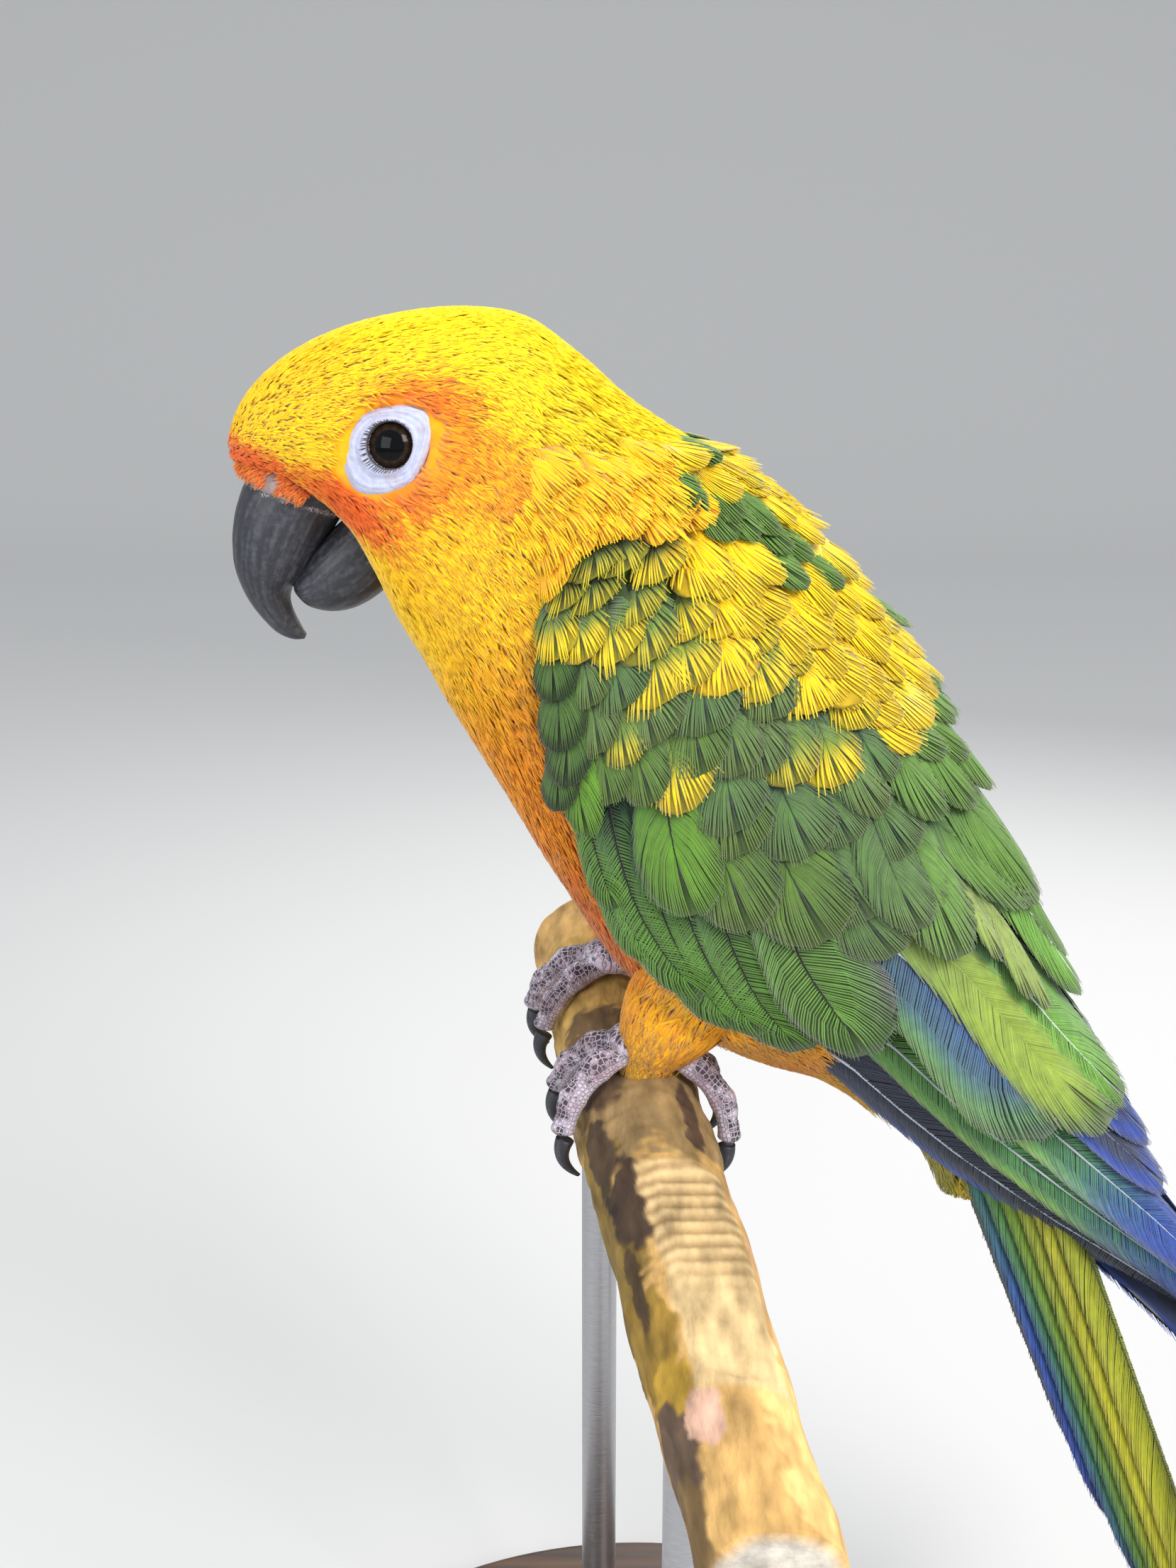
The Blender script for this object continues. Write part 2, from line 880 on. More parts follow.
def applied(mesh: Mesh, kind: str, **values: object) -> Mesh:
    """A mesh with one modifier applied.

    Args:
        mesh: The mesh, which is removed.
        kind: The modifier's kind.
        **values: The modifier's settings.

    Returns:
        The new mesh, under the same name.
    """
    name = mesh.name
    mesh.name = name + "_before"
    holder = bpy.data.objects.new("holder", mesh)
    bpy.context.scene.collection.objects.link(holder)
    modifier = holder.modifiers.new("step", kind)
    for label, value in values.items():
        setattr(modifier, label, value)
    graph = bpy.context.evaluated_depsgraph_get()
    made = bpy.data.meshes.new_from_object(holder.evaluated_get(graph), depsgraph=graph)
    bpy.data.objects.remove(holder)
    bpy.data.meshes.remove(mesh)
    made.name = name
    return made


def tree_of(*nodes: str) -> BVHTree:
    """A search tree over CAD nodes, in metres.

    Args:
        *nodes: The nodes' names.

    Returns:
        The tree.
    """
    points: list[Vector] = []
    faces: list[list[int]] = []
    for node in nodes:
        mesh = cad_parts[node].data
        start = len(points)
        points.extend(vertex.co.copy() for vertex in mesh.vertices)
        faces.extend([start + i for i in face.vertices] for face in mesh.polygons)
    return BVHTree.FromPolygons(points, faces)


class Heap:
    """Many small closed tubes, such as barbs and vanes, gathered into one mesh."""

    def __init__(self) -> None:
        """Starts empty."""
        self.points: list[Array] = []
        self.faces: list[Array] = []
        self.colours: list[Array] = []
        self.spots: list[Array] = []
        self.held = 0

    @staticmethod
    def _pattern(stations: int, sides: int) -> Array:
        """The triangles of one closed tube.

        Args:
            stations: Rings along the tube.
            sides: Points in a ring.

        Returns:
            Three point numbers a row.
        """
        one = []
        for k in range(stations - 1):
            for r in range(sides):
                a, b = k * sides + r, k * sides + (r + 1) % sides
                one += [(a, b, b + sides), (a, b + sides, a + sides)]
        last = (stations - 1) * sides
        for r in range(1, sides - 1):
            one += [(0, r + 1, r), (last, last + r, last + r + 1)]
        return np.array(one)

    def add(self, points: Array, colours: Array, roots: Array) -> None:
        """Adds tubes of one kind.

        Args:
            points: (tubes, stations, sides, 3), in mm.
            colours: The same shape, or one that spreads to it, linear.
            roots: (tubes, 2), the place of each root on the bake map.
        """
        count, stations, sides = points.shape[:3]
        pattern = self._pattern(stations, sides)
        corners = points.reshape(count, -1, 3)[:, pattern]
        volume = np.einsum("nfi,nfi->", corners[:, :, 0], np.cross(corners[:, :, 1], corners[:, :, 2]))
        if volume < 0:
            pattern = pattern[:, ::-1]
        each = stations * sides
        faces = pattern[None] + (self.held + np.arange(count) * each)[:, None, None]
        along = (np.arange(stations) / (stations - 1) - 0.5) * BAKE_PATCH
        around = np.cos(FULL_TURN * np.arange(sides) / sides) * BAKE_PATCH / 2
        spot = np.empty((count, stations, sides, 2))
        spot[..., 0] = roots[:, None, None, 0] + along[None, :, None]
        spot[..., 1] = roots[:, None, None, 1] + around[None, None, :]
        self.points.append(points.reshape(-1, 3))
        self.colours.append(np.broadcast_to(colours, points.shape).reshape(-1, 3))
        self.spots.append(spot.reshape(-1, 2)[(faces - self.held).ravel()])
        self.faces.append(faces.reshape(-1, 3))
        self.held += count * each

    def strands(self, centres: Array, aside: Array, ridges: Array, colours: Array, roots: Array) -> None:
        """Adds strands of three sides.

        Args:
            centres: (strands, stations, 3), the middle of the underside in mm.
            aside: The same shape, from the middle to the right edge.
            ridges: The same shape, from the middle up to the ridge.
            colours: The same shape, linear.
            roots: (strands, 2), the place of each root on the bake map.
        """
        points = np.stack([centres - aside, centres + aside, centres + ridges], axis=2)
        colours = np.broadcast_to(colours, centres.shape)
        self.add(points, colours[:, :, None], roots)

    def mesh(self, name: str) -> Mesh:
        """Everything as one mesh with its colours and its bake map.

        Args:
            name: The mesh's name.

        Returns:
            The mesh.
        """
        faces = np.concatenate(self.faces)
        mesh = mesh_from(name, np.concatenate(self.points), faces)
        paint(mesh, np.concatenate(self.colours))
        layer = mesh.uv_layers.new(name=BAKE_MAP)
        layer.uv.foreach_set("vector", np.concatenate(self.spots).astype(np.float32).ravel())
        return mesh


@dataclass(frozen=True)
class Patch:
    """A soft patch of colour on both sides of the body."""

    x: float
    z: float
    long: float
    tall: float
    lean: float
    colour: Colour
    strength: float = 1.0
    edge: float = 0.55


@dataclass
class Plumage:
    """The colour of the small feathers all over the body."""

    base: Colour = (255, 206, 0)
    patches: tuple[Patch, ...] = (
        Patch(-14, 172, 24, 17, 50, (238, 138, 12), 0.9, 0.9),
        Patch(-8, 152, 22, 16, 50, (214, 104, 14), 0.95, 0.8),
        Patch(8, 134, 20, 12, 40, (240, 150, 14), 0.8, 0.8),
        Patch(-13, 219, 28, 12, -12, (255, 226, 0), 0.95, 0.8),
        Patch(-4, 208, 18, 11, -38, (255, 222, 0), 0.95, 0.8),
        Patch(-44, 213, 10, 7, 40, (240, 190, 0), 0.8, 0.9),
        Patch(-26, 196, 10, 8, 60, (255, 190, 0), 0.8, 0.8),
        Patch(-19.5, 205, 9, 5.5, -12, (250, 158, 10), 0.8, 0.8),
        Patch(-29.5, 207, 9.5, 8, 30, (250, 140, 14), 0.85, 0.5),
        Patch(-27.5, 212.5, 7, 2.6, 0, (242, 112, 18), 0.75, 0.9),
        Patch(-17, 202.5, 6, 2.4, 15, (238, 136, 16), 0.5, 0.9),
        Patch(-37, 200.2, 8.5, 3.0, -32, (236, 92, 20), 0.95, 0.6),
        Patch(-29.5, 201.5, 4, 2.0, 25, (238, 110, 20), 0.8, 0.8),
        Patch(-48, 204, 7, 2.6, -22, (232, 92, 20), 0.95, 0.5),
        Patch(8, 128, 26, 9, -10, (226, 168, 20), 0.95, 0.7),
        Patch(10, 134, 7, 3.5, 20, (214, 110, 24), 0.7, 0.8),
        Patch(16, 126, 4, 3, 0, (214, 120, 24), 0.6, 0.8),
        Patch(-1, 126, 2.4, 4, 0, (226, 116, 22), 0.6, 0.8),
        Patch(34, 118, 14, 8, -60, (150, 150, 36), 0.9, 0.8),
        Patch(12, 199, 10, 3.5, -42, (110, 146, 40), 0.5, 0.6),
    )

    def at(self, points: Array, shade: Array) -> Array:
        """Colours at places on the body.

        Args:
            points: Places in mm, of any shape before the last axis.
            shade: A random number a place, from 0 to 1, that moves the patches' edges.

        Returns:
            Linear colours.
        """
        x, y, z = np.moveaxis(points, -1, 0)
        colour = np.broadcast_to(rgb(*self.base), points.shape).copy()
        for patch in self.patches:
            lean = math.radians(patch.lean)
            along = (x - patch.x) * math.cos(lean) + (z - patch.z) * math.sin(lean)
            across = -(x - patch.x) * math.sin(lean) + (z - patch.z) * math.cos(lean)
            reach = np.hypot(along / patch.long, across / patch.tall) + (shade - 0.5) * 0.35
            share = patch.strength * (1 - smooth(1 - patch.edge, 1 + patch.edge * 0.4, reach))
            colour = mix(colour, rgb(*patch.colour), share[..., None])
        return colour


PLUMAGE = Plumage()
FEATHER = TintedFinish("feather", roughness=0.62, specular=0.22, sheen=0.25)
SOFT_FEATHER = TintedFinish("soft_feather", roughness=0.7, specular=0.15, sheen=0.35)


@dataclass(frozen=True)
class CoatZone:
    """How the small feathers are over part of a form."""

    rows: tuple[float, float]
    spacing: float
    length: float
    width: float
    depth: float
    strands: int
    fan: float
    rise: float = 1.0
    turns: tuple[float, float] = (0.0, FULL_TURN)


@dataclass
class Coat:
    """Small feathers as tufts of fine strands that lie along a form."""

    form: BodyForm | ThighForm
    chart: tuple[float, float, float, float]
    covers: list[BVHTree] = field(default_factory=list)
    bare: list[BVHTree] = field(default_factory=list)
    hang: tuple[float, float, float] = (0.0, 0.0, 0.0)
    seed: int = 7

    def _frames(self, row: Array, turn: Array) -> tuple[Array, Array, Array, Array]:
        """Places, their tangents by row and turn, and the way out.

        Args:
            row: How far down it, in rows.
            turn: Angles round it.

        Returns:
            The points, both tangents and the ways out.
        """
        step = 0.02
        zero = np.zeros_like(row)
        point = self.form.point(row, turn, zero)
        by_row = (self.form.point(row + step, turn, zero)
                  - self.form.point(row - step, turn, zero)) / (2 * step)
        by_turn = (self.form.point(row, turn + step, zero)
                   - self.form.point(row, turn - step, zero)) / (2 * step)
        out = unit(np.cross(by_row, by_turn))
        core = self.form.point(row, turn, zero - 1.0)
        out *= np.sign(np.sum((point - core) * out, axis=-1, keepdims=True))
        return point, by_row, by_turn, out

    def _roots(self, zone: CoatZone, rng: np.random.Generator) -> tuple[Array, Array]:
        """Evenly spread roots over a zone.

        Args:
            zone: The zone.
            rng: The random numbers.

        Returns:
            The roots' rows and angles.
        """
        rows, turns = [], []
        row = zone.rows[0]
        while row < zone.rows[1]:
            ring = np.linspace(zone.turns[0], zone.turns[1], 48)
            here = np.full_like(ring, row)
            _, by_row, by_turn, _ = self._frames(here, ring)
            long = np.linalg.norm(by_row, axis=-1)
            around = np.linalg.norm(by_turn, axis=-1)
            lengths = np.concatenate([[0], np.cumsum((around[1:] + around[:-1]) / 2 * np.diff(ring))])
            count = max(int(lengths[-1] / zone.spacing), 2)
            marks = (np.arange(count) + rng.random()) / count * lengths[-1]
            at = np.interp(marks, lengths, ring)
            step = zone.spacing / long.max()
            keep = rng.random(count) < np.interp(at, ring, long) / long.max()
            at = at + rng.normal(0, 0.25, count) * zone.spacing / np.interp(at, ring, around)
            down = row + rng.uniform(-0.45, 0.45, count) * step
            rows.append(down[keep])
            turns.append(at[keep])
            row += step
        return np.concatenate(rows), np.concatenate(turns)

    def _open(self, points: Array, out: Array, lie: Array, length: float) -> Array:
        """Which feathers aren't under a wing and don't reach over bare skin.

        Args:
            points: The feathers' roots, in mm.
            out: The way out at each place.
            lie: The way each feather lies.
            length: The feathers' length, in mm.

        Returns:
            True for each feather that stays.
        """
        keep = np.ones(len(points), dtype=bool)
        for i, (point, way, along) in enumerate(zip(points * MM, out, lie)):
            start = Vector(point) - Vector(way) * 0.0006
            for bare in self.bare:
                spots = [start + Vector(along) * (length * share * MM) for share in (0.1, 0.5, 0.9)]
                if any(bare.find_nearest(spot, 0.0006)[0] is not None for spot in spots):
                    keep[i] = False
                    break
            if not keep[i]:
                continue
            for cover in self.covers:
                ways = [Vector(way + along * tilt).normalized() for tilt in (-0.9, 0.0, 0.9)]
                if all(cover.ray_cast(start, tilted, 0.02)[0] is not None for tilted in ways):
                    keep[i] = False
                    break
        return keep

    def grow(self, zones: tuple[CoatZone, ...]) -> Heap:
        """Grows the coat.

        Args:
            zones: Where it grows and how.

        Returns:
            The strands.
        """
        strands = Heap()
        share = np.linspace(0, 1, 3)
        for number, zone in enumerate(zones):
            rng = np.random.default_rng(self.seed + number)
            row, turn = self._roots(zone, rng)
            point, by_row, by_turn, out = self._frames(row, turn)
            lie = unit(by_row)
            keep = self._open(point, out, lie, zone.length)
            row, turn, point, by_row, by_turn, out, lie = (
                part[keep] for part in (row, turn, point, by_row, by_turn, out, lie)
            )
            count = len(row)
            whirl = rng.normal(0, 0.12, count)
            for _ in range(zone.strands):
                angle = whirl + rng.normal(0, zone.fan, count)
                across = np.cross(out, lie)
                way = unit(lie * np.cos(angle)[:, None] + across * np.sin(angle)[:, None])
                beside = np.cross(out, way)
                start = rng.uniform(-0.6, 0.6, (count, 2)) * zone.spacing
                length = zone.length * rng.uniform(0.75, 1.2, count)
                bend = rng.normal(0, 0.08, count) * length
                path = (
                    way[:, None] * (start[:, 0, None] + length[:, None] * share)[..., None]
                    + beside[:, None] * (start[:, 1, None] + bend[:, None] * share ** 2)[..., None]
                )
                rows = self._to_form(path, by_row, by_turn)
                high = zone.depth * (1 - (1 - share) ** 1.7) * zone.rise
                height = -zone.depth + high + rng.uniform(-0.12, 0.08, (count, 1)) * zone.depth
                down = np.clip(row[:, None] + rows[..., 0], 0.0, self.form.last)
                centre = self.form.point(down, turn[:, None] + rows[..., 1], height)
                past = row[:, None] + rows[..., 0] - down
                centre = centre + np.maximum(past, 0.0)[..., None] * np.array(self.hang)
                thin = zone.width * np.array([0.8, 1.0, 0.12]) * rng.uniform(0.8, 1.25, (count, 1))
                shade = np.repeat(rng.random((count, 1)), len(share), axis=1)
                tint = PLUMAGE.at(point[:, None] + 0 * centre, shade)
                bright = (0.92 + 0.10 * share) * rng.uniform(0.93, 1.06, (count, 1))
                tint = tint * bright[..., None]
                strands.strands(
                    centre, beside[:, None] * thin[..., None] / 2,
                    out[:, None] * (thin * 0.3)[..., None], tint, self._spots(row, turn),
                )
        return strands

    @staticmethod
    def _to_form(path: Array, by_row: Array, by_turn: Array) -> Array:
        """Steps in space as steps in rows and turns.

        Args:
            path: Steps in mm, a row of them for each feather.
            by_row: Tangents by row.
            by_turn: Tangents by turn.

        Returns:
            The steps in rows and in radians.
        """
        rr = np.sum(by_row * by_row, -1)[:, None]
        rt = np.sum(by_row * by_turn, -1)[:, None]
        tt = np.sum(by_turn * by_turn, -1)[:, None]
        a = np.sum(path * by_row[:, None], -1)
        b = np.sum(path * by_turn[:, None], -1)
        scale = rr * tt - rt * rt
        return np.stack([(a * tt - b * rt) / scale, (b * rr - a * rt) / scale], axis=-1)

    def _spots(self, row: Array, turn: Array) -> Array:
        """The roots' places on an unwrap of the form.

        Args:
            row: How far down it, in rows.
            turn: Angles round it.

        Returns:
            Two map coordinates a root.
        """
        left, low, wide, high = self.chart
        around = np.mod(turn / FULL_TURN, 1.0)
        return np.stack([left + wide * around, low + high * row / self.form.last], axis=-1)


@dataclass
class Birdskin:
    """The one skin under the coat, and the small feathers over it."""

    voxel: float = 0.7
    socket_depth: float = 2.0
    socket_rim: tuple[float, float] = (3.3, 5.0)
    coat_rows: tuple[float, ...] = (0, 3, 5.2, 7.6, 11, 20)
    coat_depths: tuple[float, ...] = (0.28, 0.36, 0.46, 0.62, 0.85, 1.3)
    thigh_depth: float = 1.2
    brighter: float = 1.1
    body_chart: tuple[float, float, float, float] = (0.02, 0.02, 0.66, 0.96)
    thigh_charts: tuple[tuple[float, float, float, float], ...] = (
        (0.72, 0.02, 0.26, 0.44), (0.72, 0.52, 0.26, 0.44),
    )
    coats: tuple[tuple[str, tuple[CoatZone, ...]], ...] = (
        ("face", (CoatZone((0.1, 3.0), 0.66, 1.6, 0.4, 0.4, 4, 0.2),
                  CoatZone((3.0, 5.2), 0.82, 2.4, 0.44, 0.6, 5, 0.18))),
        ("head", (CoatZone((5.2, 7.6), 0.9, 3.2, 0.5, 0.8, 6, 0.16),)),
        ("neck", (CoatZone((7.6, 11.0), 1.27, 4.6, 0.52, 1.3, 6, 0.18),)),
        ("breast", (CoatZone((11.0, 14.5), 1.5, 6.0, 0.54, 1.6, 8, 0.2, turns=(1.2, 5.08)),)),
        ("belly", (CoatZone((14.5, 19.6), 1.8, 7.0, 0.56, 1.7, 8, 0.22),
                   CoatZone((14.4, 17.0), 1.1, 9.5, 0.6, 0.4, 6, 0.3, 7.0, (3.4, 5.1)))),
    )
    thigh_coat: tuple[CoatZone, ...] = (
        CoatZone((0.0, 3.4), 1.2, 4.4, 0.46, 1.1, 6, 0.2),
        CoatZone((1.6, 3.7), 1.0, 7.0, 0.5, 0.5, 6, 0.25, 1.6),
    )

    def build(self) -> None:
        """Builds the skin, then each part of the coat from the bill back."""
        self._skin()
        covers = [tree_of("wing_left"), tree_of("wing_right")]
        bare = [tree_of("eye_ring_left", "eye_ring_right", "eye_left", "eye_right", "bill_upper",
                        "bill_lower", "cere")]
        body = Coat(BODY, self.body_chart, covers, bare)
        for name, zones in self.coats:
            show(body.grow(zones).mesh(f"{name}_feathers"), FEATHER.material())
        for side, chart in zip(Side, self.thigh_charts):
            thigh = Coat(ThighForm(side), chart, covers, hang=(-0.3, 0.0, -2.6), seed=31 + side.value)
            show(thigh.grow(self.thigh_coat).mesh(f"thigh_feathers_{side.name.lower()}"),
                 FEATHER.material())

    def _skin(self) -> None:
        """Body, thighs and the root of the tail, fused into one surface with eye sockets."""
        parts = [wrapped("skin", 150, 96, lambda u, v: BODY.point(
            u * BODY.last, v * FULL_TURN,
            -np.interp(u * BODY.last, self.coat_rows, self.coat_depths)))]
        for side in Side:
            form = ThighForm(side)
            parts.append(wrapped("thigh", 30, 32, lambda u, v, form=form: form.point(
                u * form.last, v * FULL_TURN, -self.thigh_depth + 0 * u)))
        skin = joined_meshes("skin", parts)
        skin = applied(skin, "REMESH", mode="VOXEL", voxel_size=self.voxel * MM, use_smooth_shade=True)
        skin = applied(skin, "SMOOTH", factor=0.6, iterations=4)
        skin.polygons.foreach_set("use_smooth", np.ones(len(skin.polygons), dtype=bool))
        points = points_of(skin)
        for side in Side:
            eye = Eye(side)
            middle = eye.place(0.0, 0.0, 0.0)
            inward = eye.place(0.0, 0.0, -self.socket_depth) - middle
            apart = np.linalg.norm(points - middle, axis=1)
            points += inward * (1 - smooth(*self.socket_rim, apart))[:, None]
        skin.vertices.foreach_set("co", (points * MM).ravel())
        paint(skin, PLUMAGE.at(points, np.full(len(points), 0.5)) * self.brighter)
        show(skin, SOFT_FEATHER.material(),
             ("head", "neck", "torso", "thigh_left", "thigh_right"))


@dataclass(frozen=True)
class PlumeLook:
    """How one kind of vaned feather is coloured and frayed."""

    web: Colour
    root: Colour
    tip: Colour
    lower: Colour
    upper: Colour
    shaft: Colour = (24, 34, 20)
    under: Colour = (34, 54, 26)
    tip_from: float = 0.86
    tip_soft: float = 0.14
    root_to: float = 0.55
    edge_from: float = 0.55
    fringe: float = 0.0
    fray: float = 0.04
    split: float = 0.5
    vary: float = 0.14
    spacing: float = 0.42
    slant: float = 19.0
    fill: float = 0.85


@dataclass(frozen=True)
class Plume:
    """A vaned feather on a chart: its root, its tip, its width and how it lies."""

    root: tuple[float, float]
    tip: tuple[float, float]
    width: float
    look: PlumeLook
    over: float = 0.0
    bow: float = 0.0
    leading: float = 0.5
    blunt: float = 0.9
    waist: float = 0.62
    hidden: float = 0.12


@dataclass
class PlumeMaker:
    """Builds vaned feathers on a chart, barb by barb over a thin vane."""

    chart: WingForm | TailForm
    lift: tuple[float, float]
    roll: float
    camber: float = 0.3
    thick: float = 0.14
    sink: float = 0.3

    def _outline(self, plume: Plume, share: Array) -> Array:
        """Half of the feather's whole width along it.

        Args:
            plume: The feather.
            share: Shares along the feather, from 0 to 1.

        Returns:
            Half widths, in mm.
        """
        length = math.dist(plume.root, plume.tip)
        end = min(plume.blunt * plume.width / length, 0.36)
        body = plume.waist + (1 - plume.waist) * smooth(0.0, 1.0 - end * 0.6, share)
        past = np.clip((share - (1 - end)) / end, 0, 1)
        return plume.width / 2 * body * np.sqrt(np.maximum(1 - past ** 2.4, 0.0))

    def _webs(self, plume: Plume, share: Array, side: Array) -> Array:
        """The width of one web along the feather: the lower one where side is negative."""
        part = np.where(side < 0, plume.leading, 1 - plume.leading)
        return 2 * self._outline(plume, share) * part

    def _place(self, plume: Plume, share: Array, across: Array, raised: Array) -> Array:
        """Points of the feather's sheet: along it, across it in mm, and over its face.

        Args:
            plume: The feather.
            share: Shares along the feather, from 0 to 1.
            across: Distance across it, in mm.
            raised: Height over its face, in mm.

        Returns:
            The points, in mm.
        """
        (s0, m0), (s1, m1) = plume.root, plume.tip
        length = math.hypot(s1 - s0, m1 - m0)
        ds, dm = (s1 - s0) / length, (m1 - m0) / length
        bend = plume.bow * 4 * share * (1 - share)
        s = s0 + (s1 - s0) * share + (across + bend) * -dm
        m = m0 + (m1 - m0) * share + (across + bend) * ds
        v = across / (plume.width / 2)
        lift = mix(self.lift[0], self.lift[1], share) + plume.over
        height = lift - self.roll * v - self.camber * v ** 2 + raised
        return self.chart.point(s, m, height)

    def build(self, plume: Plume, heap: Heap, seed: int) -> None:
        """Adds one feather to a heap.

        Args:
            plume: The feather.
            heap: What takes its barbs, shaft and vane.
            seed: Its own random seed.
        """
        rng = np.random.default_rng(seed)
        root = np.array([[0.5 + plume.tip[0] / 400, 0.5 + plume.tip[1] / 400]])
        for side in (-1.0, 1.0):
            self._barbs(plume, side, heap, root, rng)
        self._shaft(plume, heap, root)
        self._vane(plume, heap, root)

    def _barbs(
        self, plume: Plume, side: float, heap: Heap, root: Array, rng: np.random.Generator,
    ) -> None:
        """One web of barbs.

        Args:
            plume: The feather.
            side: -1 for the lower web and 1 for the upper.
            heap: What takes its tubes.
            root: Its place on the bake map.
            rng: The random numbers.
        """
        look = plume.look
        length = math.dist(plume.root, plume.tip)
        first = plume.hidden
        web = plume.width * (plume.leading if side < 0 else 1 - plume.leading)
        reach = min(web / math.tan(math.radians(look.slant)) / length, 0.8)
        rim = np.linspace(first + reach * 0.5, 0.999, 200)
        edge = self._webs(plume, rim, np.full(200, side))
        run = np.concatenate([[0], np.cumsum(np.hypot(np.diff(rim) * length, np.diff(edge)))])
        count = max(int(run[-1] / look.spacing), 8)
        marks = (np.arange(count) + 0.5 + rng.normal(0, 0.12, count)) / count
        end = np.interp(marks * run[-1], run, rim)
        last = 1 - 0.55 * reach
        base = np.clip(np.minimum(end - reach * 0.3, first + (last - first) * marks), first, 0.97)
        q = np.linspace(0, 1, 4)[None]
        # Barbs part in a few places: those before a split lie back and those after it forwards.
        splits = np.sort(rng.uniform(first, 1, rng.integers(1, 3) + int(count / 45)))
        gap = np.zeros(count)
        for split in splits:
            after = end - split
            gap += np.where(after > 0, np.exp(-after * length / 1.6), -np.exp(after * length / 1.2))
        gap *= look.split * rng.uniform(0.5, 1.0)
        wander = np.convolve(rng.normal(0, 1, count + 8), np.ones(9) / 9, "valid")[:count]
        share = base[:, None] + (end - base)[:, None] * (0.8 * q + 0.2 * q * q)
        share = share + (gap[:, None] + 0.25 * wander[:, None]) * q * q / length
        stretch = 1 + look.fray * np.abs(rng.normal(0, 1, count))[:, None] * q
        stretch = stretch - 1.5 * look.fray * rng.random(count)[:, None] * q
        width = self._webs(plume, end, np.full(count, side))[:, None]
        across = side * q ** 0.62 * width * stretch
        raised = rng.normal(0, 0.025, count)[:, None] + 0 * q
        centre = self._place(plume, share, across, raised)
        above = self._place(plume, share, across, raised + 0.5)
        out = unit(above - centre)
        along = unit(np.gradient(centre, axis=1))
        beside = np.cross(along, out)
        thick = look.spacing * look.fill
        thin = thick * np.array([1.0, 1.0, 0.9, 0.3]) * rng.uniform(0.85, 1.15, (count, 1))
        colours = self._colours(look, share, side * q * stretch, rng.random((count, 1)))
        heap.strands(
            centre, beside * (thin / 2)[..., None], out * (thin * 0.28)[..., None], colours,
            np.repeat(root, count, axis=0),
        )

    @staticmethod
    def _colours(look: PlumeLook, share: Array, v: Array, chance: Array) -> Array:
        """Colours over a feather, by share along it and place across its webs.

        Args:
            look: The feather's look.
            share: Shares along the feather, from 0 to 1.
            v: Place across the webs, from -1 to 1.
            chance: Random numbers that vary the shade.

        Returns:
            Linear colours.
        """
        shape = np.broadcast_shapes(share.shape, v.shape)
        share, v = np.broadcast_to(share, shape), np.broadcast_to(v, shape)
        colour = np.broadcast_to(rgb(*look.web), shape + (3,))
        edge = smooth(look.edge_from, 1.0, np.abs(v))
        sided = np.where((v < 0)[..., None], rgb(*look.lower), rgb(*look.upper))
        colour = mix(colour, sided, edge[..., None])
        colour = mix(rgb(*look.root), colour, smooth(0.15, look.root_to, share)[..., None])
        start = look.tip_from + (chance - 0.5) * 0.08
        at_tip = smooth(start, start + look.tip_soft, share + 0.06 * np.abs(v))
        colour = mix(colour, rgb(*look.tip), at_tip[..., None])
        if look.fringe:
            rim = smooth(0.86, 0.98, np.maximum(np.abs(v), share))
            colour = colour * (1 - look.fringe * rim[..., None])
        return colour * (1 + look.vary * (2 * chance - 1))[..., None]

    def _shaft(self, plume: Plume, heap: Heap, root: Array) -> None:
        """The feather's shaft.

        Args:
            plume: The feather.
            heap: What takes its tubes.
            root: Its place on the bake map.
        """
        share = np.linspace(plume.hidden * 0.5, 0.96, 12)[None]
        zero = np.zeros_like(share)
        centre = self._place(plume, share, zero, zero - 0.02)
        out = unit(self._place(plume, share, zero, zero + 0.5) - centre)
        along = unit(np.gradient(centre, axis=1))
        beside = np.cross(along, out)
        broad = np.linspace(1.0, 0.25, 12) * min(0.09 + 0.016 * plume.width, 0.4)
        heap.strands(
            centre, beside * broad[None, :, None], out * (broad * 0.9 + 0.05)[None, :, None],
            rgb(*plume.look.shaft), root,
        )

    def _vane(self, plume: Plume, heap: Heap, root: Array) -> None:
        """The thin closed vane under the barbs.

        Args:
            plume: The feather.
            heap: What takes its tubes.
            root: Its place on the bake map.
        """
        share = np.linspace(0.0, 0.985, 14)[None, :, None]
        turn = FULL_TURN * np.arange(10)[None, None] / 10
        side = np.cos(turn) + 0 * share
        full = 0 * side + share
        across = side * self._webs(plume, full, side) * 0.95
        raised = -self.sink * 0.5 + self.thick * (np.sin(turn) - 1) * (1 - 0.5 * share)
        points = self._place(plume, full, across, raised)
        colours = self._colours(plume.look, full, side, np.full_like(full, 0.5)) * 0.6
        colours = mix(colours, rgb(*plume.look.under), np.where(np.sin(turn) < -0.1, 0.8, 0.45)[..., None])
        heap.add(points, colours, root)


@dataclass
class Tier:
    """A row of feathers that lie alike."""

    lift: tuple[float, float]
    roll: float
    plumes: list[Plume]
    camber: float = 0.3


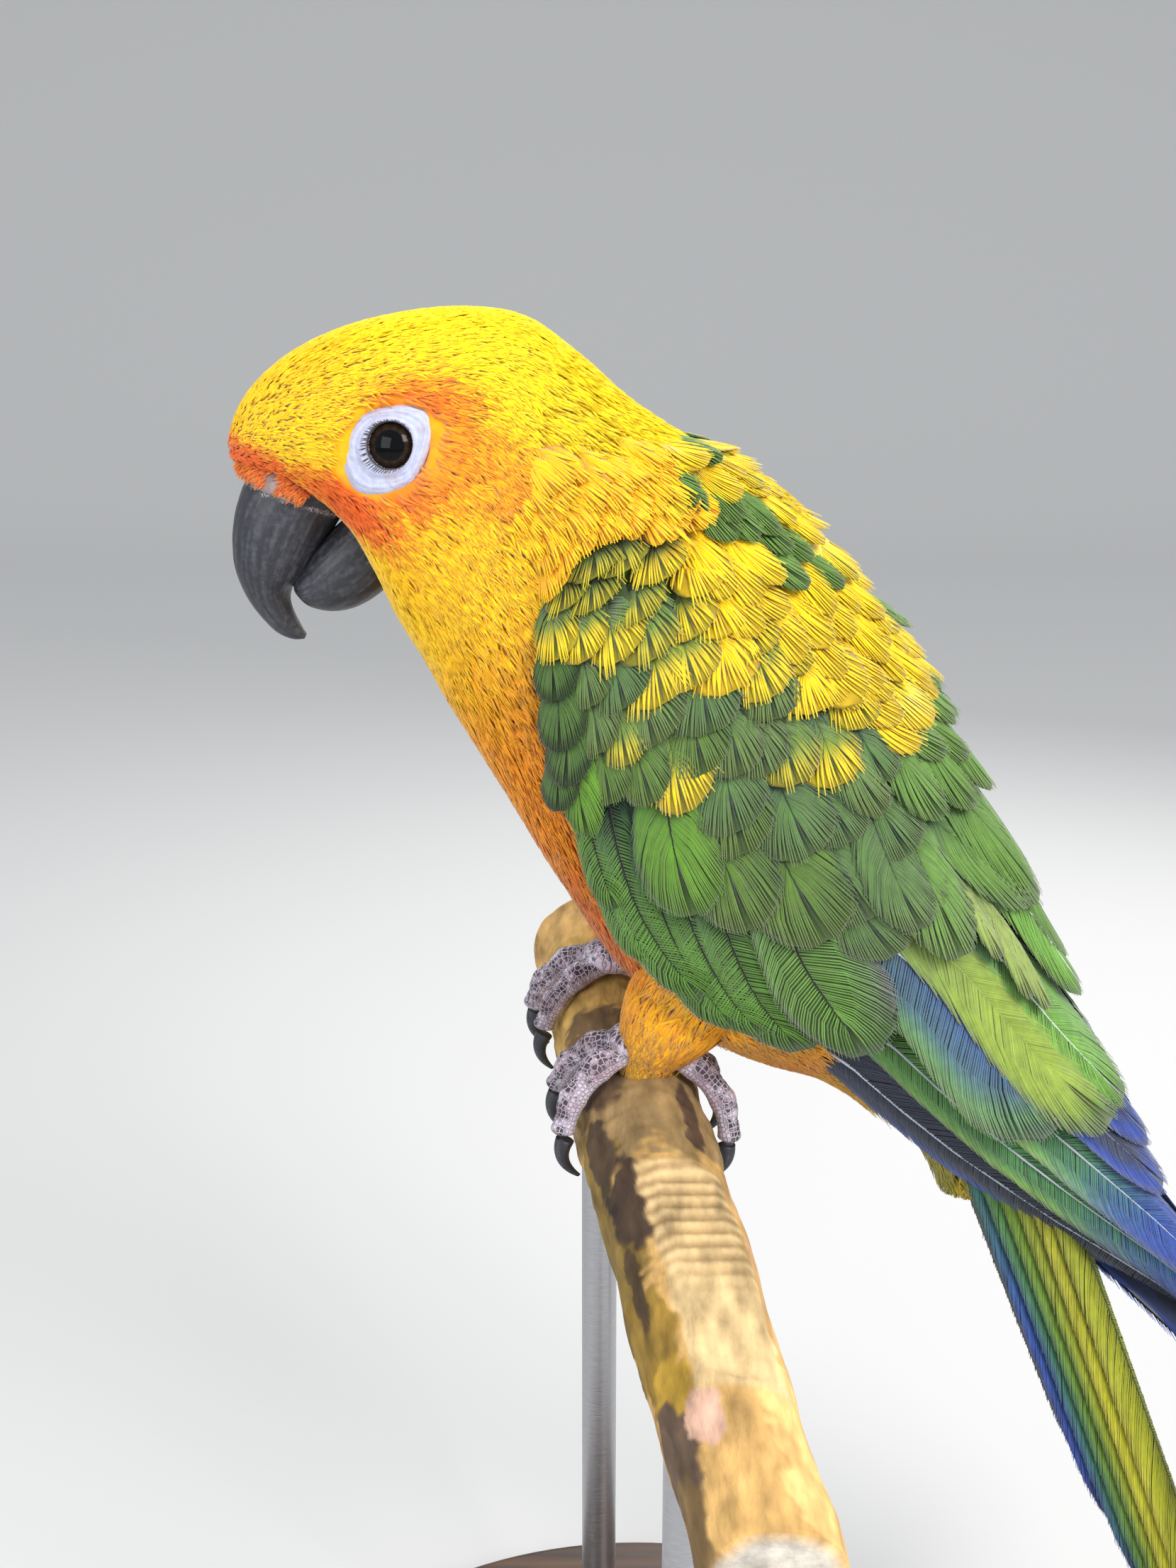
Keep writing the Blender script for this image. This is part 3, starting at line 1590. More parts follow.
GREEN = PlumeLook(
    (88, 120, 44), (56, 84, 52), (106, 134, 44), (98, 128, 48), (80, 112, 50), shaft=(36, 56, 30),
    spacing=0.3,
)
DULL = PlumeLook(
    (94, 122, 60), (80, 106, 84), (116, 136, 62), (90, 120, 58), (104, 124, 70), shaft=(44, 62, 34),
    fray=0.07, spacing=0.3, slant=18,
)
TEAL = PlumeLook(
    (84, 116, 60), (66, 92, 78), (106, 134, 66), (80, 112, 56), (90, 122, 68), shaft=(40, 62, 48),
    spacing=0.3,
)
SCALE = PlumeLook(
    (70, 104, 36), (54, 84, 40), (80, 114, 36), (74, 108, 38), (62, 94, 38), fringe=0.75, fray=0.02,
    split=0.15, spacing=0.32, slant=24, fill=0.9,
)
LEAF = PlumeLook(
    (92, 138, 32), (42, 76, 52), (102, 150, 30), (82, 130, 38), (104, 146, 42), shaft=(20, 34, 14),
    fray=0.03, split=0.25, spacing=0.3, slant=22, fill=0.75,
)
QUILL = PlumeLook(
    (84, 128, 44), (40, 76, 60), (80, 126, 26), (112, 156, 76), (64, 108, 46), shaft=(10, 16, 12),
    under=(8, 22, 8), fray=0.01, split=0.06, vary=0.2, slant=30, fill=0.5,
)
LAST_QUILL = PlumeLook(
    (96, 140, 54), (42, 80, 60), (84, 132, 30), (120, 164, 82), (128, 126, 130), shaft=(8, 14, 12),
    under=(6, 14, 8), edge_from=0.5, fray=0.01, split=0.06, vary=0.2, spacing=0.46, slant=30, fill=0.46,
)
SUN = PlumeLook(
    (250, 208, 6), (190, 168, 30), (255, 218, 8), (255, 214, 10), (244, 196, 12), shaft=(222, 186, 20),
    under=(150, 120, 10), fray=0.16, split=1.4, vary=0.1, spacing=0.5, slant=13, fill=0.9,
)
SUN_TIPPED = PlumeLook(
    (108, 134, 48), (80, 106, 76), (238, 206, 20), (122, 142, 44), (100, 128, 54), shaft=(70, 90, 30),
    under=(70, 84, 20), tip_from=0.56, tip_soft=0.22, fray=0.14, split=1.0, slant=16,
)
MOTTLED = PlumeLook(
    (102, 130, 54), (74, 100, 74), (200, 186, 34), (132, 144, 46), (90, 122, 62), shaft=(50, 70, 30),
    tip_from=0.66, tip_soft=0.26, fray=0.12, split=0.9, slant=16,
)
PALE_SUN = PlumeLook(
    (255, 226, 80), (238, 214, 60), (255, 222, 40), (255, 216, 20), (255, 236, 130),
    shaft=(250, 236, 140), under=(180, 150, 30), fray=0.12, split=0.8, spacing=0.4, slant=15,
)
LONG_GREEN = PlumeLook(
    (96, 134, 56), (70, 96, 70), (116, 150, 66), (88, 126, 50), (112, 148, 76), shaft=(60, 86, 40),
    fray=0.07, split=0.8, spacing=0.44, slant=14, fill=0.9,
)
SHAWL = PlumeLook(
    (255, 190, 4), (250, 160, 10), (255, 204, 4), (250, 170, 10), (255, 206, 6), shaft=(244, 170, 10),
    under=(200, 130, 10), fray=0.2, split=1.4, vary=0.08, spacing=0.5, slant=10, fill=0.95,
)
WISP = PlumeLook(
    (140, 158, 84), (112, 132, 72), (134, 152, 80), (120, 146, 60), (150, 164, 96), shaft=(120, 136, 70),
    fray=0.1, spacing=0.4, slant=8, fill=0.9,
)
SLATE = PlumeLook(
    (66, 68, 76), (58, 62, 70), (62, 66, 80), (60, 66, 90), (74, 76, 84), shaft=(40, 42, 48),
    under=(36, 38, 44), fray=0.012, split=0.1, spacing=0.5, slant=24,
)
TERTIAL = PlumeLook(
    (112, 160, 70), (90, 124, 110), (104, 150, 50), (118, 156, 60), (104, 138, 110),
    shaft=(206, 214, 216), under=(50, 70, 40), edge_from=0.6, fray=0.03, split=0.6, slant=24, fill=0.8,
)
TERTIAL_BLUE = PlumeLook(
    (56, 84, 140), (80, 110, 130), (80, 130, 60), (116, 166, 70), (64, 88, 150), shaft=(214, 218, 230),
    under=(30, 44, 40), tip_from=0.9, edge_from=0.02, fray=0.015, split=0.15, slant=26, fill=0.66,
)
OLIVE_TERTIAL = PlumeLook(
    (140, 162, 64), (116, 140, 76), (84, 124, 34), (132, 158, 58), (146, 166, 66), shaft=(136, 152, 76),
    under=(70, 86, 30), split=1.2, spacing=0.44, slant=15,
)
PRIMARY_BLUE = PlumeLook(
    (58, 64, 76), (48, 54, 70), (44, 60, 110), (56, 96, 200), (50, 54, 64), shaft=(172, 178, 190),
    under=(30, 32, 38), edge_from=0.35, fray=0.01, split=0.1, spacing=0.46, slant=20,
)
PRIMARY_GREEN = PlumeLook(
    (76, 130, 80), (80, 130, 60), (52, 80, 160), (150, 196, 76), (54, 70, 130), shaft=(172, 178, 190),
    under=(24, 40, 30), tip_from=0.55, tip_soft=0.3, edge_from=0.3, fray=0.01, split=0.1, slant=22,
    fill=0.62,
)
PRIMARY_TIP = PlumeLook(
    (56, 62, 84), (62, 70, 94), (44, 72, 160), (46, 80, 180), (60, 66, 80), shaft=(130, 136, 148),
    under=(30, 32, 38), edge_from=0.2, fray=0.01, split=0.1, spacing=0.46, slant=22,
)


def laid(*rows: tuple) -> list[Plume]:
    """Feathers from rows of both ends' s and m, width, look and, where given, over, bow and leading."""
    return [Plume(row[:2], row[2:4], *row[4:]) for row in rows]


def plume_tiers() -> list[Tier]:
    """The rows of a wing's feathers.

    Returns:
        The rows, from the last ones under the rest up to the shoulder.
    """
    return [
        Tier((-3.9, -2.2), 0.5, laid(
            (56, 24, 98.5, 18, 13, SLATE), (52, 10, 106, 16, 13, PRIMARY_TIP, 0, 0, 0.4),
            (52, 5, 112, 10.4, 12, PRIMARY_TIP, -0.2, 0, 0.35),
            (50, 0.2, 130, 5.0, 12, PRIMARY_GREEN, -0.5, 0, 0.45),
            (48, -7.4, 146, 0.6, 12, PRIMARY_GREEN, -0.8, 0, 0.45),
            (44, -15.4, 159, -2.6, 10.5, PRIMARY_BLUE, -1.1, -0.8, 0.42),
        )),
        Tier((-2.9, -0.4), 0.4, laid(
            (46, 40, 66, 35, 12, LONG_GREEN, -0.3), (48, 34, 79, 29, 12, LONG_GREEN, -0.4),
            (48, 22, 82.5, 24.5, 12, TERTIAL, -0.2, 1.6),
            (48, 15.5, 97, 14.6, 13, TERTIAL, -0.35, -0.4, 0.38),
            (42, 5.2, 91, 4.4, 12.5, TERTIAL_BLUE, -0.3, 0, 0.68),
            (44, 9.2, 96.5, 9.6, 11.5, OLIVE_TERTIAL, 0.0, -0.8),
        )),
        Tier((-2.6, 0.0), 0.2, laid(
            (42, 21, 66, 23.4, 9, LONG_GREEN), (40, 28, 68, 26.5, 13, LONG_GREEN, 0.15, 1.0),
            (50, 20, 66.6, 13.1, 2.8, WISP, 0.2), (52, 19.5, 73.7, 12.9, 3.0, WISP, 0.25, 0.6),
            (54, 19.5, 76.7, 14.0, 2.6, WISP, 0.3, 0.8), (38, 22, 62.5, 9.2, 9, LONG_GREEN, 0.35),
            (32, 20, 56.4, 8.8, 8, TEAL, 0.45, -0.6), (34, 30, 52, 27, 9, LONG_GREEN, 0.4),
            (36, 38, 54, 34.5, 10, LONG_GREEN, 0.3), (32, 25, 49, 21, 8, LONG_GREEN, 0.55),
            (27, 17.6, 43.2, 15.4, 7, DULL, 0.6),
        )),
        Tier((-2.6, -0.6), 0.35, laid(
            (10, -8.5, 33, -15.0, 5.0, QUILL, -0.5, -1.0), (12, -8.5, 41, -15.6, 5.6, QUILL, -0.35, -1.2),
            (14, -6.5, 48.0, -14.0, 7.0, QUILL, -0.1, -2.0), (22, -5, 53.8, -14.3, 7.0, QUILL, 0, -1.6),
            (27, -3.5, 56.5, -13.1, 7.0, QUILL, 0, -1.4), (30, 0, 61.2, -12.2, 8.2, QUILL, 0, -1.4),
            (34, 4.5, 65.6, -7.3, 12.4, LAST_QUILL, 0.25, -0.6, 0.42),
        )),
        Tier((-2.2, -0.25), -0.3, laid(
            (44, 12.5, 56, 10.0, 11.6, GREEN), (40, 8, 57, 4.6, 9, TEAL, -0.3),
            (33, 10.5, 51.5, 6.0, 11, TEAL), (31, 5.5, 50.1, 1.4, 11.2, GREEN, 0.1),
            (26, 2.5, 43.6, -3.6, 10.2, GREEN), (18.5, 0.5, 38.3, -7.2, 11, LEAF, 0.25, -0.6),
            (11, -8.5, 24.0, -12.8, 5.9, LEAF, 0.35, -0.4),
        )),
        Tier((-2.0, -0.05), -0.3, laid(
            (36, 17.5, 49, 14.5, 9.8, TEAL), (32, 13, 43.0, 10.4, 9.3, TEAL),
            (29, 9, 40.9, 6.3, 10, TEAL, 0.1), (24, 5, 36, 1.2, 9, GREEN, -0.1),
            (22.4, 5.4, 33.5, 1.9, 8.8, TEAL, 0.15), (17, 1.5, 28.1, -1.3, 8.1, SUN_TIPPED, 0.2),
            (14.5, -2.5, 25.0, -4.3, 7.3, GREEN, 0.05), (13, -6, 22.4, -8.6, 6.6, GREEN),
        )),
        Tier((-1.9, 0.1), -0.3, laid(
            (31, 21, 41, 18.5, 9, TEAL), (28, 17, 37.3, 13.6, 9, SUN_TIPPED),
            (24, 13, 33.8, 9.6, 8.5, MOTTLED), (22, 10.2, 30.7, 7.4, 7.6, DULL, 0.05),
            (19, 8.2, 28.7, 5.0, 7.8, DULL, 0.1), (16, 4.6, 26.0, 1.9, 8.1, GREEN),
            (11, 0.8, 20.1, -0.8, 9, DULL, 0.12), (11, -2.6, 20.0, -4.6, 6.6, MOTTLED),
            (8.5, -5.2, 17.2, -7.0, 6.6, DULL),
        )),
        Tier((-1.8, 0.2), -0.3, laid(
            (25, 23, 35, 21.5, 8.8, SUN_TIPPED), (18.5, 15, 26.6, 11.2, 9, DULL),
            (13.6, 7.6, 22.9, 4.4, 9.3, TEAL, 0.12), (8, 3.4, 17.2, 1.6, 8.8, SUN_TIPPED),
            (6.6, -1.2, 14.9, -2.2, 8.3, TEAL), (5.0, -4.4, 12.6, -5.6, 6.6, DULL),
            (9.5, -8.4, 18.0, -12.4, 6.8, SCALE, 0.1), (6.0, -8.2, 14.6, -11.2, 7.1, SCALE, 0.25),
            (12.5, -11.8, 19.8, -14.6, 5.6, SCALE),
        )),
        Tier((-1.7, 0.35), -0.3, laid(
            (21, 19.5, 29.5, 16.4, 9.8, SUN), (15.5, 14.2, 24.6, 12.4, 9.3, SUN_TIPPED),
            (11.6, 11.4, 21.1, 8.6, 10.2, SUN, 0.1), (9.5, 7.0, 18.0, 5.2, 9.3, SUN_TIPPED),
            (4.6, 4.0, 12.8, 2.4, 8.5, MOTTLED), (3.0, 0.4, 10.6, -0.8, 8.1, SUN_TIPPED),
            (1.2, -3.2, 8.4, -4.2, 7.3, SUN_TIPPED, 0.1), (2.0, -7.2, 9.9, -9.4, 6.8, SCALE),
            (-0.6, -5.6, 6.6, -7.2, 6.6, SUN_TIPPED, 0.15),
        )),
        Tier((-4.5, 0.5), -0.25, laid(
            (12, 15.6, 20.4, 13.8, 9.3, SUN_TIPPED), (5.4, 9.4, 13.9, 7.6, 9.3, SUN_TIPPED),
            (7.5, 13.6, 16.2, 11.2, 9.5, SUN), (1.0, 4.4, 8.8, 3.0, 8.5, MOTTLED),
            (-2.2, 0.2, 4.8, -1.4, 8.1, MOTTLED), (-3.6, -3.0, 2.9, -4.6, 6.8, MOTTLED),
        )),
        Tier((-5.0, 0.6), -0.2, laid(
            (3.2, 13.4, 11.4, 11.4, 9, SUN), (-0.6, 9.0, 7.2, 7.4, 9, SUN_TIPPED),
            (-3.4, 5.0, 4.0, 3.8, 8.3, MOTTLED), (-4.0, 1.6, 2.4, 0.2, 7.6, MOTTLED),
        )),
    ]


def mantle_tiers(form: WingForm) -> list[Tier]:
    """The rows of long loose feathers over the back, the shoulder blades and the shoulder.

    Args:
        form: The wing whose chart carries them up to the midline.

    Returns:
        The rows, from the last one up.
    """
    rng = np.random.default_rng(5)
    tiers = []
    for row in range(11, -1, -1):
        tip_s = 3.0 + 3.9 * row
        low = np.interp(tip_s, [3, 9, 14, 18, 24, 30, 44], [13, 14, 14.2, 15.2, 17, 20, 27])
        high = float(form.girth(np.array(tip_s))) - 0.5
        count = max(int((high - low) / 3.9), 2)
        plumes = []
        for k in range(count + 1):
            m = low + (high - low) * (k + 0.5 * (row % 2)) / count
            if m > high:
                continue
            s, m = tip_s + rng.normal(0, 1.5), m + rng.normal(0, 0.6)
            green = 1.4 * math.exp(-((m - 16 - 0.55 * s) / 3.8) ** 2) * smooth(0, 4, s) * smooth(28, 21, s)
            green = max(green, 0.3 * smooth(34, 40, m) * smooth(12, 24, s))
            look = LONG_GREEN if rng.random() < green else (SUN if rng.random() < 0.86 else SUN_TIPPED)
            if row == 11:
                look = LONG_GREEN
            length = min(rng.uniform(16, 20), s + 7)
            plumes.append(Plume(
                (s - length, m - 0.14 * length + rng.normal(0, 0.5)), (s, m),
                rng.uniform(5.6, 7.0), look, bow=rng.normal(0, 0.7), over=rng.normal(0, 0.2),
                hidden=0.25, waist=0.45, blunt=1.4,
            ))
        tiers.append(Tier((-5.0, 0.7), -0.2, plumes))
    tiers[3].plumes.append(Plume((25.7, 26.1), (40.6, 29.3), 8, PALE_SUN, over=0.9, bow=1.0))
    tiers[4].plumes.append(Plume((18, 20), (31.8, 22.0), 9, SUN, over=0.8))
    for row in range(4, -1, -1):
        plumes = []
        for k in range(12):
            m = -5.0 + 2.0 * k + (row % 2) + rng.normal(0, 0.3)
            edge = np.interp(m, [-6, -2, 1.5, 6.3, 9.8, 20], [0.5, -0.6, -0.8, 1.4, 4.0, 6.0])
            s = edge + 1.0 - 1.8 * row + rng.normal(0, 0.4)
            plumes.append(Plume(
                (s - 8, m - 0.8), (s, m), 3.6, SHAWL, over=rng.normal(0, 0.1),
                hidden=0.3, waist=0.6, blunt=1.2,
            ))
        tiers.append(Tier((-4.2 - 0.3 * row, 1.0 - 0.5 * row), -0.2, plumes))
    return tiers


@dataclass
class Wing:
    """One folded wing: its dark core and its rows of feathers."""

    side: Side
    core_s: tuple[float, float] = (-3.0, 64.0)
    core_girth: tuple[float, float] = (0.95, 0.62)
    core_lift: tuple[float, float] = (-2.4, -5.4)

    def build(self) -> None:
        """Builds the wing's pieces."""
        form = WingForm(self.side)
        heap = Heap()
        self._core(form, heap)
        seed = 100
        name = self.side.name.lower()
        mantle = Heap()
        for target, tiers in ((heap, plume_tiers()), (mantle, mantle_tiers(form))):
            for tier in tiers:
                maker = PlumeMaker(form, tier.lift, tier.roll, tier.camber)
                for plume in tier.plumes:
                    seed += 1
                    maker.build(plume, target, seed)
        show(heap.mesh(f"wing_feathers_{name}"), FEATHER.material(), (f"wing_{name}",))
        show(mantle.mesh(f"mantle_feathers_{name}"), FEATHER.material())

    def _core(self, form: WingForm, heap: Heap) -> None:
        """The arm and the feathers' roots, as one closed dark body.

        Args:
            form: The wing's surface.
            heap: What takes it.
        """
        along = np.linspace(0, 1, 30)[None, :, None]
        turn = (FULL_TURN * np.arange(40) / 40)[None, None]
        s = mix(self.core_s[0], self.core_s[1], along) + 0 * turn
        girth = mix(self.core_girth[0], self.core_girth[1], along)
        low, high = form.lower_edge(s) * 0.96, form.girth(s) * girth
        m = (low + high) / 2 + (high - low) / 2 * np.cos(turn)
        top, bottom = self.core_lift
        lift = (top + bottom) / 2 + (top - bottom) / 2 * rounded(np.sin(turn), 3.0)
        heap.add(form.point(s, m, lift + 0 * s), rgb(70, 92, 30), np.array([[0.5, 0.5]]))


@dataclass
class Tail:
    """The folded tail of twelve feathers."""

    start: float = 9.0
    layer: float = 0.85
    closing: float = 0.7
    pairs: tuple[tuple[float, float, float], ...] = (
        (136, -2.0, 9.4), (129, 1.2, 11.2), (119, 2.8, 12.8), (108, 4.4, 14.3), (96, 6.0, 15.8),
        (84, 7.6, 17.2),
    )

    def build(self) -> None:
        """Builds the tail as one piece."""
        green = dict(shaft=(60, 80, 30), fray=0.02, spacing=0.42, slant=24, split=0.3,
                     fill=0.66, under=(60, 66, 24))
        looks = (
            PlumeLook((160, 164, 30), (150, 156, 40), (60, 110, 120), (206, 196, 40),
                      (190, 186, 36), **green),
            PlumeLook((176, 174, 28), (160, 160, 40), (60, 100, 120), (200, 192, 36),
                      (150, 160, 36), **green),
            PlumeLook((150, 158, 30), (140, 150, 40), (50, 90, 120), (96, 134, 40),
                      (190, 184, 36), **green),
            PlumeLook((104, 138, 40), (110, 140, 40), (50, 80, 130), (60, 120, 80),
                      (120, 146, 40), **green),
            PlumeLook((62, 116, 80), (80, 128, 60), (40, 70, 140), (44, 90, 150),
                      (90, 136, 50), **green),
            PlumeLook((44, 80, 150), (60, 110, 90), (36, 60, 140), (40, 74, 168),
                      (40, 90, 120), **green),
        )
        heap = Heap()
        form = TailForm()
        seed = 900
        for index in reversed(range(len(self.pairs))):
            length, inner, outer = self.pairs[index]
            for side in (1, -1):
                seed += 1
                sunk = -self.layer * (index if side < 0 else index + 0.5)
                middle, width = (inner + outer) / 2, outer - inner + 1.0
                maker = PlumeMaker(form, (sunk, sunk), 0.0, camber=0.15, thick=0.12, sink=0.2)
                plume = Plume(
                    (self.start, side * middle), (length, side * middle * self.closing), width,
                    looks[index], blunt=1.5, waist=0.7, leading=0.5, hidden=0.02,
                )
                maker.build(plume, heap, seed)
        show(heap.mesh("tail_feathers"), FEATHER.material(), ("tail",))


@dataclass(frozen=True)
class HornFinish:
    """Dry dark horn with growth streaks and pale flaking along its edges.

    The chart holds how far a point lies from a flaking edge, its place along the growth and its
    place round it.
    """

    name: str = "dark_horn"
    dark: Colour = (40, 41, 47)
    light: Colour = (76, 78, 87)
    flake: Colour = (176, 172, 170)
    flaked: bool = True

    def material(self) -> Material:
        """The finish as a material.

        Returns:
            The material.
        """
        shader = Shader(self.name, 0.42, 0.45)
        chart = shader.vector(CHART)
        streak = shader.noise(1600.0, 6.0, (0.0, 0.1, 1.0), chart)
        grain = shader.noise(1500.0, 6.0)
        share = shader.step(shader.math("ADD", shader.math("MULTIPLY", streak, 0.6),
                                        shader.math("MULTIPLY", grain, 0.4)), 0.42, 0.72)
        colour = shader.blend(share, rgb(*self.dark), rgb(*self.light))
        if self.flaked:
            edge = shader.parts(chart).outputs["X"]
            wander = shader.math("ADD", shader.math("MULTIPLY", edge, 1000.0),
                                 shader.math("MULTIPLY", shader.noise(900.0, 4.0), 1.3))
            near = shader.math("SUBTRACT", 1.0, shader.step(wander, 0.55, 0.95))
            fine = shader.step(shader.noise(5000.0, 3.0), 0.40, 0.62)
            pale = shader.math("MULTIPLY", near, fine)
            colour = shader.blend(pale, colour, rgb(*self.flake))
        shader.colour(colour)
        shader.roughness(shader.math("ADD", shader.math("MULTIPLY", grain, 0.35), 0.28))
        shader.bump(shader.math("ADD", streak, shader.math("MULTIPLY", grain, 0.6)), 0.00012)
        return shader.material


HORN = HornFinish()


@dataclass
class Bill:
    """The upper and the lower bill."""

    upper: Array = field(default_factory=lambda: np.array([
        [-48.6, 203.4, -36.6, 198.9, 5.5], [-49.9, 200.9, -38.4, 196.9, 5.9],
        [-50.9, 197.9, -40.1, 194.3, 5.9], [-51.4, 194.3, -41.7, 191.8, 5.4],
        [-51.2, 191.2, -43.1, 189.8, 4.6], [-50.2, 188.2, -44.3, 188.8, 3.6],
        [-48.6, 185.5, -44.7, 187.4, 2.7], [-46.6, 183.3, -44.3, 185.8, 1.9],
        [-44.7, 182.4, -43.5, 184.2, 1.2], [-43.2, 182.4, -42.9, 183.1, 0.5],
    ]))
    lower: Array = field(default_factory=lambda: np.array([
        [-36.6, 198.2, -31.8, 190.0, 4.4], [-39.0, 196.2, -33.8, 188.0, 4.9],
        [-41.2, 194.0, -36.6, 186.4, 4.8], [-42.8, 191.8, -39.4, 185.9, 4.2],
        [-44.0, 190.0, -42.0, 186.4, 3.2], [-44.2, 188.9, -43.5, 187.6, 1.5],
    ]))

    def build(self) -> None:
        """Builds both halves."""
        for name, rows, fullness, edge_from in (
            ("bill_upper", self.upper, 2.1, 0.62), ("bill_lower", self.lower, 2.2, 0.5),
        ):
            form = BodyForm(rows, fullness)

            def surface(u: Array, v: Array, form: BodyForm = form) -> Array:
                """The horn's surface with its growth ridges.

                Args:
                    u: Shares along it, from 0 to 1.
                    v: Shares round it, from 0 to 1.

                Returns:
                    The points, in mm.
                """
                row, turn = u * form.last, v * FULL_TURN
                flat = form.point(row, turn, 0 * u)
                ridges = 0.04 * soft_noise(flat, 1.6, 3)
                return form.point(row, turn, ridges - 0.05)

            def chart(u: Array, v: Array, _: Array, edge_from: float = edge_from) -> Array:
                """Distance from the cere's edge or the cutting edge, along and round, in metres.

                Args:
                    u: Shares along it, from 0 to 1.
                    v: Shares round it, from 0 to 1.

                Returns:
                    Three values a point.
                """
                root = np.abs(u * 22.0 - 1.7)
                cut = np.abs(np.abs(v - 0.5) - (0.5 - edge_from) * 0.36) * 30.0
                cut = np.where((u > 0.05) & (u < 0.62), cut + 0.35, 9.0)
                return np.stack([np.minimum(root, cut) * MM, u * 22 * MM, np.abs(v - 0.5) * 24 * MM], -1)

            mesh = wrapped(f"{name}_horn", 110, 72, surface, chart=chart)
            show(mesh, HORN.material(), (name,))


@dataclass(frozen=True)
class BareSkinFinish:
    """Soft bare skin, painted by the mesh, with fine wrinkles."""

    name: str = "bare_skin"
    wrinkle_scale: float = 2600.0
    wrinkle_depth: float = 0.00012

    def material(self) -> Material:
        """The finish as a material.

        Returns:
            The material.
        """
        shader = Shader(self.name, 0.62, 0.25)
        socket(shader.surface, "Subsurface Weight", 0.25)
        socket(shader.surface, "Subsurface Radius", (0.6, 0.3, 0.2))
        socket(shader.surface, "Subsurface Scale", 0.0012)
        wrinkle = shader.noise(self.wrinkle_scale, 6.0)
        tone = shader.effect(EFFECTS.mottle, Colour=shader.attribute(TINT), Scale=1500.0, Strength=0.09)
        shader.colour(tone.outputs["Colour"])
        shader.bump(wrinkle, self.wrinkle_depth)
        return shader.material


BARE_SKIN = BareSkinFinish()


@dataclass
class Cere:
    """The soft band over the root of the bill, with its nostrils."""

    rows: Array = field(default_factory=lambda: np.array([
        [-41.6, -5.7, 199.9, 0.9], [-43.6, -5.4, 201.1, 1.4], [-46.0, -4.5, 202.2, 1.6],
        [-48.4, -2.6, 203.1, 1.2], [-49.3, 0.0, 203.5, 1.0],
    ]))
    nostril: tuple[float, float, float] = (-45.0, -5.9, 202.2)
    nostril_radius: float = 0.62

    def build(self) -> None:
        """Builds the band as one closed tube."""
        right = self.rows[-2::-1] * np.array([1, -1, 1, 1])
        whole = np.concatenate([self.rows, right])

        def surface(u: Array, v: Array) -> Array:
            """The band, sunk in at both nostrils.

            Args:
                u: Shares along it, from 0 to 1.
                v: Shares round it, from 0 to 1.

            Returns:
                The points, in mm.
            """
            table = read_rows(whole, u * (len(whole) - 1))
            along = unit(read_rows(whole, u * (len(whole) - 1) + 0.05)[:, :3]
                         - read_rows(whole, u * (len(whole) - 1) - 0.05)[:, :3])
            across = unit(np.cross(np.array([0.0, 0.0, 1.0]), along))
            other = np.cross(along, across)
            turn = v * FULL_TURN
            way = across * np.cos(turn)[:, None] + other * np.sin(turn)[:, None]
            flat = table[:, :3] + way * table[:, 3:4]
            sink = 0.55 * (1 - smooth(0.25, 1.0, self._from_nostril(flat) / self.nostril_radius))
            uneven = 0.06 * soft_noise(flat, 0.9, 5)
            return flat + way * (uneven - sink)[:, None]

        def tint(_: Array, __: Array, points: Array) -> Array:
            """Greyish pink, dark in the nostrils.

            Args:
                points: Places, in mm.

            Returns:
                Linear colours.
            """
            skin = mix(rgb(128, 110, 106), rgb(166, 148, 146),
                       smooth(-0.6, 0.8, soft_noise(points, 1.1, 8))[:, None])
            open_share = 1 - smooth(0.55, 1.0, self._from_nostril(points) / self.nostril_radius)
            return mix(skin, rgb(24, 14, 14), open_share[:, None])

        mesh = wrapped("cere_skin", 160, 36, surface, tint=tint)
        show(mesh, BARE_SKIN.material(), ("cere",))
        self._bristles(mesh)

    def _bristles(self, cere: Mesh) -> None:
        """Red-orange bristles that lie forwards over the cere, but for its nostrils.

        Args:
            cere: The cere's mesh.
        """
        rng = np.random.default_rng(77)
        corners = points_of(cere)[[list(face.vertices)[:3] for face in cere.polygons]]
        way = unit(np.cross(corners[:, 1] - corners[:, 0], corners[:, 2] - corners[:, 0]))
        start = corners.mean(axis=1)
        seen = (way[:, 2] + 0.6 * np.abs(way[:, 1]) > 0.35) & (rng.random(len(way)) < 0.5)
        seen &= self._from_nostril(start) > 1.7 * self.nostril_radius
        start, way = start[seen], way[seen]
        count = len(start)
        forward = np.array([-0.75, 0.0, -0.65]) + rng.normal(0, 0.16, (count, 3))
        forward = unit(forward - way * np.sum(forward * way, axis=1, keepdims=True))
        share = np.array([0.0, 0.5, 1.0])[None, :, None]
        length = rng.uniform(0.8, 1.5, (count, 1, 1))
        centre = (start - 0.1 * way)[:, None] + forward[:, None] * length * share
        centre = centre + way[:, None] * (0.42 * share - 0.3 * share ** 2)
        beside = np.cross(way, forward)[:, None]
        thin = np.array([0.2, 0.17, 0.02])[None, :, None]
        colour = mix(rgb(214, 92, 24), rgb(246, 150, 44), rng.random((count, 1, 1)) * share)
        heap = Heap()
        heap.strands(centre, beside * thin, way[:, None] * thin * 0.7, colour,
                     np.stack([0.5 + start[:, 0] / 900, 0.5 + start[:, 1] / 200], axis=-1))
        show(heap.mesh("cere_bristles"), SOFT_FEATHER.material())

    def _from_nostril(self, points: Array) -> Array:
        """How far points lie from the nearer nostril's middle.

        Args:
            points: Places, in mm.

        Returns:
            Distances, in mm.
        """
        mirrored = points.copy()
        mirrored[:, 1] = -np.abs(points[:, 1])
        return np.linalg.norm(mirrored - np.array(self.nostril), axis=-1)


